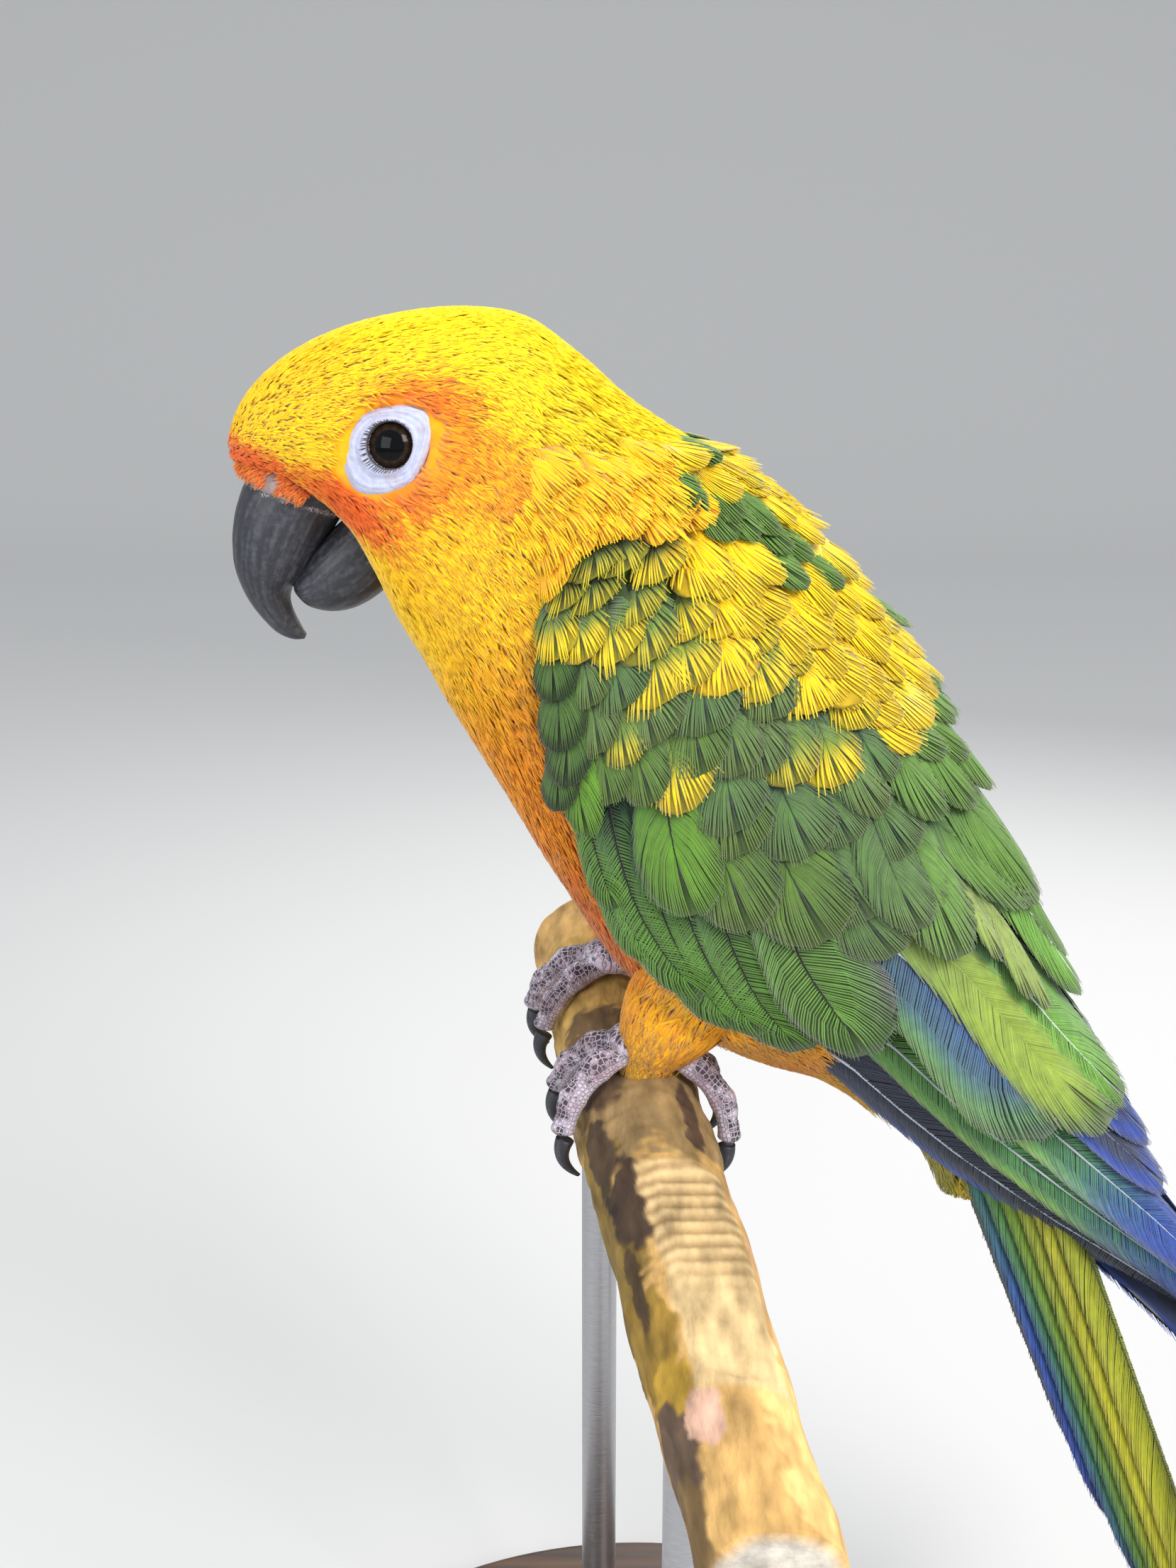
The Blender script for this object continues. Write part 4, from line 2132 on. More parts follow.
@dataclass
class Eye:
    """One eye: the ball, its bare ring and the short lashes round the lid."""

    side: Side
    at: tuple[float, float, float] = (-30.7, -13.9, 207.0)
    looks: tuple[float, float, float] = (-0.2, -0.97, 0.1)
    ball_radius: float = 3.6
    ball_depth: float = 3.1
    lid_radius: float = 2.7
    pupil: float = 1.75
    ring_long: float = 6.3
    ring_short: float = 4.7
    ring_lean: float = math.radians(38)
    ring_offset: tuple[float, float] = (-0.75, -0.45)
    ring_bend: float = 17.0
    ring_thickness: float = 1.4
    profile: tuple[tuple[float, float], ...] = (
        (0.0, -0.25), (0.04, 0.25), (0.1, 0.52), (0.18, 0.56), (0.3, 0.36), (0.42, 0.3),
        (0.55, 0.42), (0.68, 0.5), (0.8, 0.4), (0.92, 0.1), (1.0, -0.25),
    )

    def place(self, back: Array, up: Array, out: Array) -> Array:
        """Points in the eye's own frame: back along the head, up, and out of it.

        Args:
            back: Distance back along the head, in mm.
            up: Distance up, in mm.
            out: Distance out, in mm.

        Returns:
            The points, in mm.
        """
        looks = unit(np.array(self.looks))
        rearward = np.array([1.0, 0, 0])
        rearward = unit(rearward - looks * np.dot(rearward, looks))
        upward = unit(np.cross(rearward, looks))
        upward = upward if upward[2] > 0 else -upward
        left = (np.array(self.at) + np.asarray(back)[..., None] * rearward
                + np.asarray(up)[..., None] * upward + np.asarray(out)[..., None] * looks)
        return left * np.array([1, -self.side.value, 1])

    def build(self) -> None:
        """Builds the ball, the ring and the lashes."""
        name = self.side.name.lower()
        self._ball(name)
        self._ring(name)
        self._lashes(name)

    def _ball(self, name: str) -> None:
        """The eyeball: black pupil, dark brown iris and a dark rim.

        Args:
            name: The side's name.
        """
        def surface(u: Array, v: Array) -> Array:
            """A sphere with its pole looking out.

            Args:
                u: Shares along it, from 0 to 1.
                v: Shares round it, from 0 to 1.

            Returns:
                The points, in mm.
            """
            polar, turn = u * math.pi, v * FULL_TURN
            return self.place(
                self.ball_radius * np.sin(polar) * np.cos(turn),
                self.ball_radius * np.sin(polar) * np.sin(turn),
                self.ball_radius * np.cos(polar) - self.ball_depth,
            )

        def tint(u: Array, v: Array, points: Array) -> Array:
            """Colours by how far a point lies from the pupil's middle.

            Args:
                u: Shares along it, from 0 to 1.
                v: Shares round it, from 0 to 1.
                points: Places, in mm.

            Returns:
                Linear colours.
            """
            reach = self.ball_radius * np.sin(u * math.pi)
            streak = 0.5 + 0.5 * np.sin(v * FULL_TURN * 61) * np.sin(v * FULL_TURN * 23)
            iris = mix(rgb(30, 21, 15), rgb(52, 38, 26), streak[:, None])
            colour = mix(rgb(3, 3, 4), iris, smooth(self.pupil - 0.1, self.pupil + 0.1, reach)[:, None])
            return mix(colour, rgb(14, 9, 8), smooth(2.3, 2.6, reach)[:, None])

        mesh = wrapped(f"eye_ball_{name}", 90, 72, surface, caps=False, tint=tint)
        shader = Shader("wet_eye", 0.05, 0.05)
        socket(shader.surface, "Coat Weight", 0.2)
        socket(shader.surface, "Coat Roughness", 0.02)
        shader.colour(shader.effect(
            EFFECTS.mottle, Colour=shader.attribute(TINT), Scale=900.0, Strength=0.15,
        ).outputs["Colour"])
        show(mesh, shader.material, (f"eye_{name}",))

    def _ring_point(self, turn: Array, share: Array, height: Array) -> Array:
        """Points of the ring: round it, from lid to rim, and over the head.

        Args:
            turn: Angles round the ring.
            share: Shares of the way from lid to rim.
            height: Height over it, in mm.

        Returns:
            The points, in mm.
        """
        c, s = np.cos(turn), np.sin(turn)
        long = self.ring_long * c * np.abs(c) ** 0.15 * (1 + 0.08 * np.maximum(c, 0))
        short = self.ring_short * s * (1.04 - 0.34 * np.maximum(c, 0) ** 1.5)
        cos, sin = math.cos(self.ring_lean), math.sin(self.ring_lean)
        out_x = self.ring_offset[0] + long * cos - short * sin
        out_y = self.ring_offset[1] + long * sin + short * cos
        room = np.sqrt(np.maximum((self.ball_radius + 0.12) ** 2 - (self.ball_depth + height) ** 2, 0.0))
        inner = np.maximum(self.lid_radius - 0.12, room)
        x = mix(inner * np.cos(turn + self.ring_lean), out_x, share)
        y = mix(inner * np.sin(turn + self.ring_lean), out_y, share)
        return self.place(x, y, height - (x * x + y * y) / (2 * self.ring_bend))

    @staticmethod
    def _folds(turn: Array, face: Array) -> Array:
        """The ring's round wrinkles, from -1 to 1, by angle and share of the way to its rim."""
        return np.sin(face * 31 + 1.4 * np.sin(turn * 2 + 1) + 0.8 * np.sin(turn * 5))

    def _ring(self, name: str) -> None:
        """The bare white ring with its round wrinkles.

        Args:
            name: The side's name.
        """
        table = np.array(self.profile)
        top = 0.8

        def surface(u: Array, v: Array) -> Array:
            """The ring's section: its face, then down and back inside.

            Args:
                u: Shares along it, from 0 to 1.
                v: Shares round it, from 0 to 1.

            Returns:
                The points, in mm.
            """
            turn = u * FULL_TURN
            face = np.clip(v / top, 0, 1)
            back = np.clip((v - top) / (1 - top), 0, 1)
            share = np.where(v <= top, face, 1 - back)
            share = np.where(v > top, np.clip(1.25 * (1 - back) - 0.125, 0, 1), share)
            height = np.interp(face, table[:, 0], table[:, 1])
            folds = self._folds(turn, face)
            rough = soft_noise(self._ring_point(turn, face, 0 * u), 0.7, 12)
            edge = smooth(0.02, 0.15, face) * (1 - smooth(0.85, 1.0, face))
            height = height + edge * (0.014 * folds + 0.09 * rough)
            low = -self.ring_thickness
            height = np.where(v > top, np.where((back > 0.1) & (back < 0.9), low, height), height)
            inner_low = np.where((v > top) & (back >= 0.9), low * (1 - (back - 0.9) / 0.1) + table[0, 1]
                                 * (back - 0.9) / 0.1, height)
            return self._ring_point(turn, share, inner_low)

        def tint(u: Array, v: Array, points: Array) -> Array:
            """Bluish white, greyer in the folds and at the lid.

            Args:
                u: Shares along it, from 0 to 1.
                v: Shares round it, from 0 to 1.
                points: Places, in mm.

            Returns:
                Linear colours.
            """
            turn, face = u * FULL_TURN, np.clip(v / top, 0, 1)
            ridge = 0.5 + 0.5 * self._folds(turn, face)
            colour = mix(rgb(178, 182, 206), rgb(190, 194, 218), ridge[:, None])
            front = smooth(0.35, 1.0, face * (0.5 - 0.5 * np.cos(turn - 2.9 + self.ring_lean) * -1))
            pink = np.clip(smooth(0.1, 0.9, soft_noise(points, 1.8, 14)) * 0.4 + front * 0.5, 0, 1)
            colour = mix(colour, rgb(170, 150, 156), pink[:, None])
            return mix(rgb(70, 66, 72), colour, smooth(0.03, 0.1, face)[:, None])

        mesh = wrapped(f"eye_skin_{name}", 160, 60, surface, caps=False, tint=tint)
        seam = bmesh.new()
        seam.from_mesh(mesh)
        bmesh.ops.remove_doubles(seam, verts=seam.verts, dist=1e-6)
        bmesh.ops.recalc_face_normals(seam, faces=seam.faces)
        seam.to_mesh(mesh)
        seam.free()
        show(mesh, BARE_SKIN.material(), (f"eye_ring_{name}",))

    def _lashes(self, name: str) -> None:
        """Short dark bristles on the lid, longest before and over the eye.

        Args:
            name: The side's name.
        """
        rng = np.random.default_rng(61)
        heap = Heap()
        count = 64
        turn = np.linspace(0, FULL_TURN, count, endpoint=False) + rng.normal(0, 0.03, count)
        front = 0.5 - 0.5 * np.cos(turn - 0.2 + self.ring_lean)
        share = np.array([0.07, 0.12, 0.17])[None] + rng.normal(0, 0.006, (count, 1))
        share = share + (front[:, None] - 0.4) * np.array([0.0, 0.04, 0.09])
        height = np.array([0.4, 0.72, 0.98])[None] + 0 * share
        centre = self._ring_point(turn[:, None] + 0 * share, share, height)
        along = unit(np.gradient(centre, axis=1))
        out = self.place(0.0, 0.0, 1.0) - self.place(0.0, 0.0, 0.0)
        beside = unit(np.cross(along, out + 0 * centre))
        thin = np.array([0.07, 0.05, 0.012])[None, :, None]
        heap.strands(centre, beside * thin, np.cross(beside, along) * thin * 1.4,
                     rgb(34, 30, 34), np.zeros((count, 2)) + 0.5)
        show(heap.mesh(f"lashes_{name}"), SOFT_FEATHER.material())


@dataclass(frozen=True)
class ScaledSkinFinish:
    """A parrot's foot: pale skin with raised dark scales on the upper side.

    The chart holds millimetres along and round the toe, and how far the scales reach.
    """

    name: str = "scaled_skin"
    pale: Colour = (218, 208, 224)
    pink: Colour = (186, 164, 178)
    scale_colour: Colour = (62, 54, 62)
    scale_size: float = 1.15

    def material(self) -> Material:
        """The finish as a material.

        Returns:
            The material.
        """
        shader = Shader(self.name, 0.5, 0.35)
        socket(shader.surface, "Subsurface Weight", 0.15)
        socket(shader.surface, "Subsurface Radius", (0.6, 0.25, 0.18))
        socket(shader.surface, "Subsurface Scale", 0.001)
        chart = shader.vector(CHART)
        flat = shader.node("ShaderNodeVectorMath", operation="MULTIPLY")
        flat.inputs[1].default_value = (1.0, 1.25, 0.0)
        shader.join(chart, flat.inputs[0])
        cells = shader.node("ShaderNodeTexVoronoi", feature="DISTANCE_TO_EDGE", voronoi_dimensions="2D")
        shader.join(flat.outputs[0], cells.inputs["Vector"])
        socket(cells, "Scale", self.scale_size)
        socket(cells, "Randomness", 0.55)
        edge = cells.outputs["Distance"]
        plate = shader.step(edge, 0.07, 0.17)
        top = shader.step(shader.parts(chart).outputs["Z"], 0.25, 0.6)
        speck = shader.step(shader.noise(900.0, 4.0), 0.36, 0.56)
        dark = shader.math("MULTIPLY", shader.math("MULTIPLY", plate, top), speck)
        skin = shader.blend(shader.step(shader.noise(260.0, 4.0), 0.35, 0.65),
                            rgb(*self.pink), rgb(*self.pale))
        shader.colour(shader.blend(dark, skin, rgb(*self.scale_colour)))
        shader.bump(shader.math("ADD", shader.step(edge, 0.0, 0.2),
                                shader.math("MULTIPLY", shader.noise(4000.0, 4.0), 0.35)), 0.00022)
        return shader.material


SCALED_SKIN = ScaledSkinFinish()


@dataclass(frozen=True)
class Toe:
    """A toe round the perch: spread from the foot's middle, angles in degrees, and radii."""

    name: str
    spread: float
    start: float
    end: float
    root: float
    tip: float


@dataclass
class Foot:
    """One foot with its four toes, pad, shank and claws."""

    side: Side
    toes: tuple[Toe, ...] = (
        Toe("front_outer", 5.0, 98, 172, 2.0, 1.45), Toe("front_inner", -4.2, 98, 165, 1.9, 1.4),
        Toe("back_outer", 2.6, 82, -4, 1.9, 1.4), Toe("back_inner", -4.4, 82, 12, 1.7, 1.3),
    )
    gap: float = 0.3
    hub: tuple[float, float, float, float] = (2.4, 4.4, 4.0, 2.4)
    shank_radius: float = 2.2
    shank_top: float = 141.0
    claw_sweep: float = 30.0
    claw_root: float = 1.15
    claw_gap: float = 2.6

    def build(self) -> None:
        """Builds the foot as one piece, and each claw."""
        name = self.side.name.lower()
        parts = [self._toe(toe) for toe in self.toes] + [self._pad(), self._shank()]
        show(joined_meshes(f"foot_skin_{name}", parts), SCALED_SKIN.material(),
             (f"foot_{name}",))
        for toe in self.toes:
            self._claw(toe, f"claw_{name}_{toe.name}")

    @staticmethod
    def _round(centre: Surface, radius: Surface) -> Surface:
        """A tube's surface from its middle line and its radius.

        Args:
            centre: Gives points of the middle line from shares.
            radius: Gives radii from both shares.

        Returns:
            The surface, its second share starting at the side that faces the perch.
        """
        def surface(u: Array, v: Array) -> Array:
            """Points of the tube.

            Args:
                u: Shares along it, from 0 to 1.
                v: Shares round it, from 0 to 1.

            Returns:
                The points, in mm.
            """
            middle = centre(u, v)
            along = unit(centre(u + 0.01, v) - centre(u - 0.01, v))
            inward = unit(PERCH.centre(middle[:, 1]) - middle)
            inward = unit(inward - along * np.sum(inward * along, -1, keepdims=True))
            across = np.cross(along, inward)
            turn = v * FULL_TURN
            way = inward * np.cos(turn)[:, None] + across * np.sin(turn)[:, None]
            return middle + way * radius(u, v)[:, None]

        return surface

    def _toe(self, toe: Toe) -> Mesh:
        """One toe with its joints' pads below and scales above.

        Args:
            toe: The toe.

        Returns:
            The toe's mesh.
        """
        def thick(u: Array) -> Array:
            """The CAD radius along the toe, with its round end."""
            t = np.clip(u, 0, 1)
            return mix(toe.root, toe.tip, t) * (1 + 0.07 * np.cos(t * 6 * math.pi))

        def centre(u: Array, _: Array) -> Array:
            """The toe's middle line.

            Args:
                u: Shares along it, from 0 to 1.

            Returns:
                The points, in mm.
            """
            t = np.clip(u, 0, 1)
            y = self.side.value * (FOOT_Y + toe.spread * np.sqrt(t))
            return PERCH.point(y, mix(toe.start, toe.end, u), self.gap + thick(t))

        def radius(u: Array, v: Array) -> Array:
            """The radius with small swells for the pads, and closed round ends.

            Args:
                u: Shares along it, from 0 to 1.
                v: Shares round it, from 0 to 1.

            Returns:
                Radii, in mm.
            """
            below = np.maximum(np.cos(v * FULL_TURN), 0)
            pads = 0.05 * below * np.cos(u * 6 * math.pi)
            scutes = 0.03 * (1 - below) * np.sin(u * 60)
            ends = np.sqrt(np.clip(1 - np.maximum((u - 0.94) / 0.06, 0) ** 2, 0.0, 1))
            return thick(u) * (1 + pads + scutes - 0.02) * np.maximum(ends, 0.05)

        return wrapped("toe", 90, 36, self._round(centre, radius), chart=lambda u, v, _: np.stack(
            [u * 22.0 + toe.spread, v * 11.0, 0.5 - 0.5 * np.cos(v * FULL_TURN)], -1))

    def _middle(self) -> Array:
        """The middle of the foot's hub, over the top of the perch."""
        return PERCH.point(*map(np.array, (self.side.value * FOOT_Y, 90.0, self.gap + self.hub[0])))

    def _pad(self) -> Mesh:
        """The foot's middle.

        Returns:
            The pad's mesh.
        """
        _, long, wide, high = self.hub
        middle = self._middle()

        def surface(u: Array, v: Array) -> Array:
            """A flattened ball.

            Args:
                u: Shares along it, from 0 to 1.
                v: Shares round it, from 0 to 1.

            Returns:
                The points, in mm.
            """
            polar, turn = u * math.pi, v * FULL_TURN
            return middle + np.stack([
                long * np.sin(polar) * np.cos(turn), wide * np.sin(polar) * np.sin(turn),
                high * np.cos(polar),
            ], -1) * 0.99

        def chart(u: Array, v: Array, points: Array) -> Array:
            """Millimetres over the top."""
            off = points - middle
            return np.stack([off[:, 0] + 3, off[:, 1] + 3, smooth(-0.5, 1.0, off[:, 2])], -1)

        return wrapped("pad", 40, 40, surface, caps=False, chart=chart)

    def _shank(self) -> Mesh:
        """The shank's lower end, up into the thigh's feathers.

        Returns:
            The shank's mesh.
        """
        middle = self._middle()

        def surface(u: Array, v: Array) -> Array:
            """An upright tube.

            Args:
                u: Shares along it, from 0 to 1.
                v: Shares round it, from 0 to 1.

            Returns:
                The points, in mm.
            """
            turn = v * FULL_TURN
            radius = self.shank_radius * (0.99 + 0.02 * np.sin(u * 30))
            return np.stack([
                middle[0] + 1.2 + radius * np.cos(turn), middle[1] + radius * np.sin(turn),
                mix(middle[2], self.shank_top, u),
            ], -1)

        return wrapped("shank", 40, 32, surface, chart=lambda u, v, _: np.stack(
            [u * 12 + 40, v * 13.8, 1 + 0 * u], -1))

    def _claw(self, toe: Toe, name: str) -> None:
        """One claw, curling in round the perch.

        Args:
            toe: The toe that it ends.
            name: The claw's CAD node.
        """
        way = math.copysign(1, toe.end - toe.start)

        def thick(u: Array) -> Array:
            """The radius, which ends in a blunt point."""
            return mix(self.claw_root, 0.22, np.clip(u, 0, 1) ** 1.2)

        def centre(u: Array, _: Array) -> Array:
            """The claw's middle line.

            Args:
                u: Shares along it, from 0 to 1.

            Returns:
                The points, in mm.
            """
            y = self.side.value * (FOOT_Y + toe.spread) + 0 * u
            degrees = toe.end + way * (self.claw_gap + self.claw_sweep * u)
            arch = 0.7 * np.sin(math.pi * np.clip(u, 0, 1))
            return PERCH.point(y, degrees, self.gap + thick(u) + arch)

        mesh = wrapped(f"{name}_horn", 48, 24, self._round(centre, lambda u, v: thick(u)),
                       chart=lambda u, v, _: np.stack([1 + 0 * u, u * 6 * MM, v * 6 * MM], -1))
        show(mesh, HornFinish(name="claw_horn", flaked=False).material(), (name,))


BRANCH_WOOD = TintedFinish(
    "branch_wood", roughness=0.78, specular=0.2, mottle_scale=420.0, mottle_strength=0.4,
    relief_scale=900.0, relief_depth=0.0003, stretch=(1.0, 0.3, 1.0),
)


@dataclass(frozen=True)
class BarkPatch:
    """A patch of colour on the branch: its middle and size in mm along and degrees round."""

    y: float
    degrees: float
    long: float
    wide: float
    colour: Colour
    raised: float = 0.0


@dataclass
class Perch:
    """The branch with its bark, its gnawed flat and its cut ends."""

    flat_from: float = -73.0
    flat_to: float = -31.0
    flat_angle: float = 80.0
    flat_depth: float = 1.3
    flat_fade: float = 5.0
    ridge_from: float = -53.0
    ridges: float = 2.4
    ridge_lean: float = 2.0
    base: Colour = (196, 156, 96)
    cut: Colour = (196, 188, 176)
    patches: tuple[BarkPatch, ...] = (
        BarkPatch(-80, 35, 16, 40, (226, 182, 116)), BarkPatch(-50, 10, 30, 26, (206, 162, 116)),
        BarkPatch(-15, 90, 18, 120, (150, 124, 84)), BarkPatch(14, 90, 16, 200, (190, 154, 88), 0.2),
        BarkPatch(-40, 170, 26, 44, (128, 104, 52), 0.1), BarkPatch(-60, 155, 11, 32, (146, 116, 50), 0.2),
        BarkPatch(-69, 145, 5, 28, (188, 150, 58), 0.2), BarkPatch(-76, 165, 8, 36, (104, 84, 68)),
        BarkPatch(-74, 122, 4, 16, (202, 162, 140)), BarkPatch(-38, 136, 9, 22, (74, 58, 46), 0.2),
        BarkPatch(-26, 150, 9, 16, (82, 66, 50), 0.2), BarkPatch(-12, 130, 8, 26, (92, 72, 54), 0.2),
        BarkPatch(-22, 58, 8, 10, (84, 66, 52)), BarkPatch(-52, 150, 9, 10, (86, 68, 46), 0.2),
        BarkPatch(-2, 120, 7, 40, (110, 88, 60)), BarkPatch(-84, 170, 8, 26, (120, 96, 62)),
    )

    def build(self) -> None:
        """Builds the branch."""
        def surface(u: Array, v: Array) -> Array:
            """The branch's surface, rounded over at both cuts.

            Args:
                u: Shares along it, from 0 to 1.
                v: Shares round it, from 0 to 1.

            Returns:
                The points, in mm.
            """
            end = 0.012
            inner = np.clip((u - end) / (1 - 2 * end), 0, 1)
            y = mix(PERCH.near_y, PERCH.far_y, inner)
            degrees = v * 360 - 90
            radius = PERCH.radius(y)
            k = degrees / 22.5
            uneven = 0.12 * (np.sin(0.13 * y + k) + np.sin(0.31 * y + 2.1 * k) - 2)
            place = PERCH.point(y, degrees, uneven)
            rough = 0.2 + 0.8 * smooth(-38, -24, y)
            uneven += 0.22 * soft_noise(place, 6.0, 21) + 0.2 * rough * soft_noise(place, 1.6, 22)
            uneven += self._zones(y, degrees, place)[1] - 0.3
            turn = np.radians(degrees - self.flat_angle)
            flat, facing = self._flatness(y), np.maximum(np.cos(turn), 0.3)
            cut = np.where(np.cos(turn) > 0.3, (radius - self.flat_depth * flat) / facing - radius, 9.0)
            wave = np.abs(np.sin(math.pi * (y + self.ridge_lean * turn) / self.ridges)) - 0.6
            tooth = 0.36 * wave * smooth(self.ridge_from - 6, self.ridge_from + 6, y) * flat
            height = np.where(flat > 0, np.minimum(uneven, cut + tooth), uneven)
            ends = np.clip(np.minimum(u, 1 - u) / end, 0, 1)
            reach = (radius + height) * ends + 0.001
            return PERCH.point(y, degrees, reach - radius)

        def tint(u: Array, v: Array, points: Array) -> Array:
            """Bark, bare wood and fresh cuts.

            Args:
                u: Shares along it, from 0 to 1.
                v: Shares round it, from 0 to 1.
                points: Places, in mm.

            Returns:
                Linear colours.
            """
            y, degrees = points[:, 1], v * 360 - 90
            colour, _ = self._zones(y, degrees, points)
            turn = np.abs(degrees - self.flat_angle) + 5 * soft_noise(points, 2.5, 25)
            fresh = smooth(43, 38, turn) * smooth(0.1, 0.5, self._flatness(y))
            lean = self.ridge_lean * np.radians(degrees - self.flat_angle)
            groove = 0.5 + 0.5 * np.cos(FULL_TURN * (y + lean) / self.ridges)
            groove = groove * smooth(self.ridge_from - 6, self.ridge_from + 6, y)
            wood = mix(rgb(214, 184, 134), rgb(150, 118, 78), (0.75 * groove)[:, None])
            colour = mix(colour, wood, fresh[:, None])
            rim = np.minimum(u, 1 - u) < 0.011
            return np.where(rim[:, None], rgb(*self.cut), colour)

        mesh = wrapped("branch", 320, 160, surface, caps=False, tint=tint)
        show(mesh, BRANCH_WOOD.material(), ("perch",))

    def _flatness(self, y: Array) -> Array:
        """How much of the gnawed flat's depth is taken at a place."""
        return smooth(0, 1, np.minimum(y - self.flat_from, self.flat_to - y) / self.flat_fade)

    def _zones(self, y: Array, degrees: Array, points: Array) -> tuple[Array, Array]:
        """Colour and height of the bark at places.

        Args:
            y: Places along Y, in mm.
            degrees: Angles round the branch.
            points: Places, in mm.

        Returns:
            Linear colours, and heights in mm.
        """
        wander = soft_noise(points, 3.0, 31) + 0.6 * soft_noise(points, 1.0, 32)
        colour = np.broadcast_to(rgb(*self.base), (len(y), 3))
        high = np.zeros(len(y))
        for patch in self.patches:
            off = np.abs((degrees - patch.degrees + 180) % 360 - 180)
            reach = np.hypot((y - patch.y) / patch.long, off / patch.wide) + 0.3 * wander
            share = smooth(1.05, 0.85, reach)
            colour = mix(colour, rgb(*patch.colour), share[:, None])
            high = np.maximum(high, patch.raised * share)
        return colour * (1 + 0.12 * soft_noise(points, 1.4, 33))[:, None], high


@dataclass(frozen=True)
class OiledWoodFinish:
    """Dark oiled wood with straight grain along X."""

    name: str = "oiled_wood"
    dark: Colour = (44, 30, 22)
    light: Colour = (92, 64, 44)

    def material(self) -> Material:
        """The finish as a material.

        Returns:
            The material.
        """
        shader = Shader(self.name, 0.38, 0.4)
        grain = shader.noise(420.0, 8.0, (0.05, 1.0, 0.3))
        wide = shader.noise(60.0, 3.0, (0.1, 1.0, 0.3))
        share = shader.step(shader.math("ADD", shader.math("MULTIPLY", grain, 0.6),
                                        shader.math("MULTIPLY", wide, 0.4)), 0.35, 0.65)
        shader.colour(shader.blend(share, rgb(*self.dark), rgb(*self.light)))
        shader.roughness(shader.math("ADD", shader.math("MULTIPLY", grain, 0.25), 0.26))
        shader.bump(grain, 0.00008)
        return shader.material


@dataclass(frozen=True)
class BrushedSteelFinish:
    """Satin steel, brushed round the rod."""

    name: str = "brushed_steel"

    def material(self) -> Material:
        """The finish as a material.

        Returns:
            The material.
        """
        shader = Shader(self.name, 0.32)
        socket(shader.surface, "Metallic", 1.0)
        brush = shader.noise(1400.0, 5.0, (0.4, 0.4, 6.0))
        shader.colour(shader.blend(brush, rgb(150, 150, 154), rgb(196, 196, 200)))
        shader.roughness(shader.math("ADD", shader.math("MULTIPLY", brush, 0.2), 0.22))
        shader.bump(brush, 0.00002)
        return shader.material


@dataclass
class Stand:
    """The plain display stand: a turned base and two rods."""

    radius: float = 62.0
    height: float = 9.0
    bevel: float = 1.5
    rod_radius: float = 2.6
    rod_y: tuple[tuple[str, float], ...] = (("back", 27.0), ("front", -46.0))
    gap: float = 0.3

    def build(self) -> None:
        """Builds the base and the rods."""
        self._base()
        for name, y in self.rod_y:
            self._rod(name, y)

    def _base(self) -> None:
        """The base, spun from its outline."""
        shape = bmesh.new()
        arc = [(self.radius - self.bevel + self.bevel * math.sin(a),
                self.height - self.bevel + self.bevel * math.cos(a))
               for a in np.linspace(0, math.pi / 2, 7)]
        low = [(x, self.height - z) for x, z in reversed(arc)]
        outline = [(0.0, self.height), (self.radius * 0.5, self.height), *arc, *low,
                   (self.radius * 0.5, 0.0), (0.0, 0.0)]
        points = [shape.verts.new((x * MM, 0, z * MM)) for x, z in outline]
        edges = [shape.edges.new(pair) for pair in zip(points, points[1:])]
        bmesh.ops.spin(shape, geom=points + edges, cent=(0, 0, 0), axis=(0, 0, 1),
                       angle=FULL_TURN, steps=128, use_merge=True)
        bmesh.ops.remove_doubles(shape, verts=shape.verts, dist=1e-6)
        bmesh.ops.recalc_face_normals(shape, faces=shape.faces)
        mesh = bpy.data.meshes.new("base_disc")
        shape.to_mesh(mesh)
        shape.free()
        show(mesh, OiledWoodFinish().material(), ("stand_base",))

    def _rod(self, name: str, y: float) -> None:
        """A rod from the base into the underside of the perch.

        Args:
            name: The rod's name.
            y: Its place along Y, in mm.
        """
        low, high = (float(corner[2]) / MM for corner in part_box(f"stand_rod_{name}"))
        x = float(PERCH.centre(y)[0])

        def surface(u: Array, v: Array) -> Array:
            """An upright tube with eased ends.

            Args:
                u: Shares along it, from 0 to 1.
                v: Shares round it, from 0 to 1.

            Returns:
                The points, in mm.
            """
            turn = v * FULL_TURN
            ease = np.clip(np.minimum(u, 1 - u) * 60, 0, 1)
            radius = self.rod_radius - 0.25 * (1 - ease)
            return np.stack([x + radius * np.cos(turn), y + radius * np.sin(turn), mix(low, high, u)], -1)

        mesh = wrapped(f"rod_{name}", 90, 48, surface)
        show(mesh, BrushedSteelFinish().material(), (f"stand_rod_{name}",))


@dataclass(frozen=True)
class Lamp:
    """A soft square light: its place and aim in mm, width in metres, watts and colour."""

    name: str
    place: tuple[float, float, float]
    aim: tuple[float, float, float]
    width: float
    watts: float
    colour: Colour


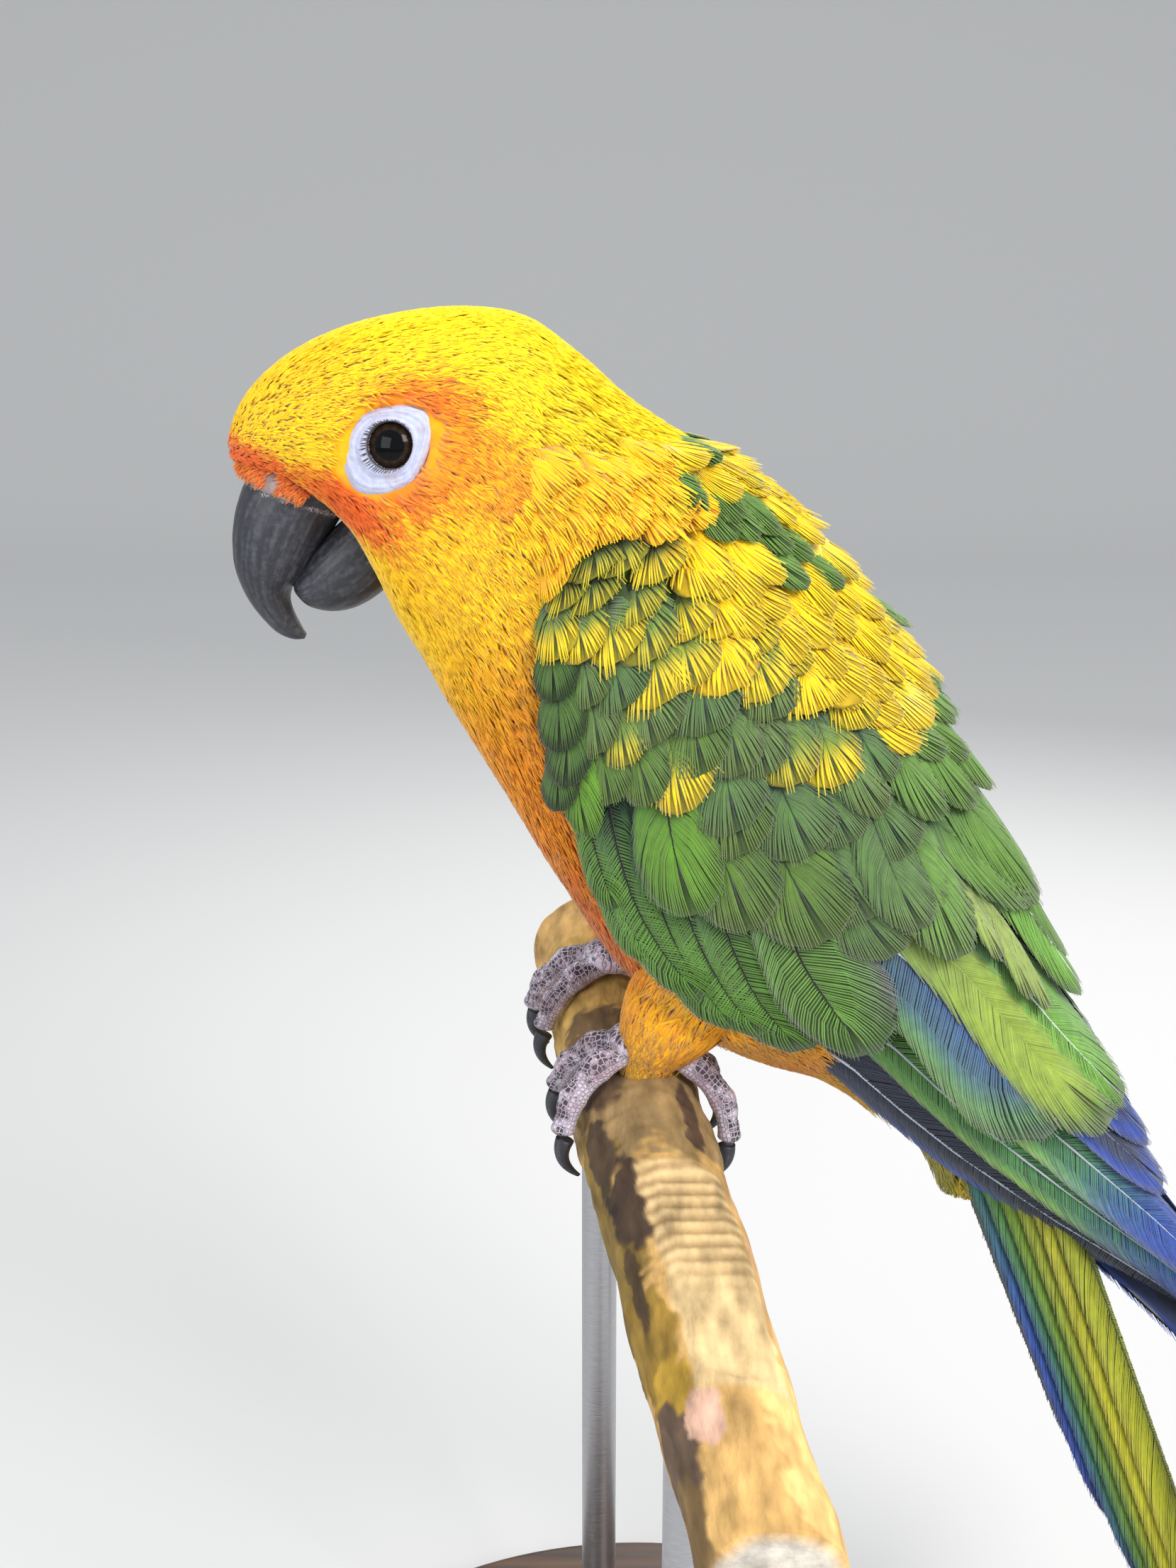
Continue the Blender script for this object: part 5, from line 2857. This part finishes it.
@dataclass
class Stage:
    """The camera at the photograph's angle, a pale floor and soft light."""

    target: tuple[float, float, float] = (-8.5, 0.0, 164.0)
    distance: float = 239.0
    pitch: float = math.radians(15)
    focal_px: float = 2700.0
    frame_px: float = 2212.0
    sensor: float = 36.0
    floor_colour: Colour = (0.6, 0.6, 0.595)
    floor_size: tuple[float, float] = (6000.0, 4200.0)
    floor_near: float = -1400.0
    floor_far: float = 1300.0
    floor_bend: float = 700.0
    room_colour: Colour = (0.93, 0.96, 1.0)
    room_strength: float = 0.8
    lamps: tuple[Lamp, ...] = (
        Lamp("key", (330, -460, 560), (0, 0, 165), 0.3, 4.4, (1.0, 0.98, 0.95)),
        Lamp("window", (-420, -460, 360), (0, 0, 170), 0.4, 1.8, (0.95, 0.98, 1.0)),
        Lamp("rim", (200, 420, 480), (0, 0, 180), 0.5, 2.4, (1.0, 0.98, 0.95)),
    )

    def build(self) -> None:
        """Builds the camera, floor and lights."""
        self._camera()
        self._floor()
        self._room()
        for lamp in self.lamps:
            self._light(lamp)
        bpy.context.scene.view_settings.view_transform = "Standard"

    def _camera(self) -> None:
        """The camera, level across and looking a little down along +Y."""
        data = bpy.data.cameras.new("camera")
        data.sensor_width = self.sensor
        data.lens = self.focal_px / self.frame_px * self.sensor
        data.clip_start, data.clip_end = 0.01, 20.0
        camera = bpy.data.objects.new("camera", data)
        bpy.context.scene.collection.objects.link(camera)
        back = Vector((0, -math.cos(self.pitch), math.sin(self.pitch)))
        camera.location = (Vector(self.target) + back * self.distance) * MM
        camera.rotation_euler = (math.pi / 2 - self.pitch, 0, 0)
        bpy.context.scene.camera = camera

    def _floor(self) -> None:
        """A pale floor that curves up far behind."""
        def sweep(u: Array, v: Array) -> Array:
            """The floor's surface.

            Args:
                u: Shares along it, from 0 to 1.
                v: Shares round it, from 0 to 1.

            Returns:
                The points, in mm.
            """
            run = v * self.floor_size[1] + self.floor_near - self.floor_far
            angle = np.clip(run / self.floor_bend, 0, math.pi / 2)
            past = np.maximum(run - self.floor_bend * math.pi / 2, 0)
            y = self.floor_far + np.minimum(run, 0) + self.floor_bend * np.sin(angle)
            z = self.floor_bend * (1 - np.cos(angle)) + past
            return np.stack([(u - 0.5) * self.floor_size[0], y, z], axis=-1)

        shader = Shader("floor_paper", 0.9, 0.1)
        socket(shader.surface, "Base Color", (*self.floor_colour, 1))
        floor = wrapped("floor", 8, 60, sweep, closed=False, caps=False)
        show(floor, shader.material, rides=False)

    def _room(self) -> None:
        """The room's own even light."""
        world = bpy.data.worlds.new("room")
        world.use_nodes = True
        background = world.node_tree.nodes["Background"]
        socket(background, "Color", (*self.room_colour, 1))
        socket(background, "Strength", self.room_strength)
        bpy.context.scene.world = world

    def _light(self, lamp: Lamp) -> None:
        """Hangs one lamp.

        Args:
            lamp: The lamp.
        """
        data = bpy.data.lights.new(lamp.name, "AREA")
        data.size, data.energy, data.color = lamp.width, lamp.watts, lamp.colour
        light = bpy.data.objects.new(lamp.name, data)
        light.location = Vector(lamp.place) * MM
        way = Vector(lamp.place) - Vector(lamp.aim)
        light.rotation_euler = way.to_track_quat("Z", "Y").to_euler()
        bpy.context.scene.collection.objects.link(light)


def main() -> None:
    """Builds every sub-assembly in order."""
    logging.basicConfig(level=logging.INFO, format="%(message)s")
    Stage().build()
    Birdskin().build()
    for side in Side:
        Wing(side).build()
    Tail().build()
    Bill().build()
    Cere().build()
    for side in Side:
        Eye(side).build()
        Foot(side).build()
    Perch().build()
    Stand().build()


if __name__ == "__main__":
    main()
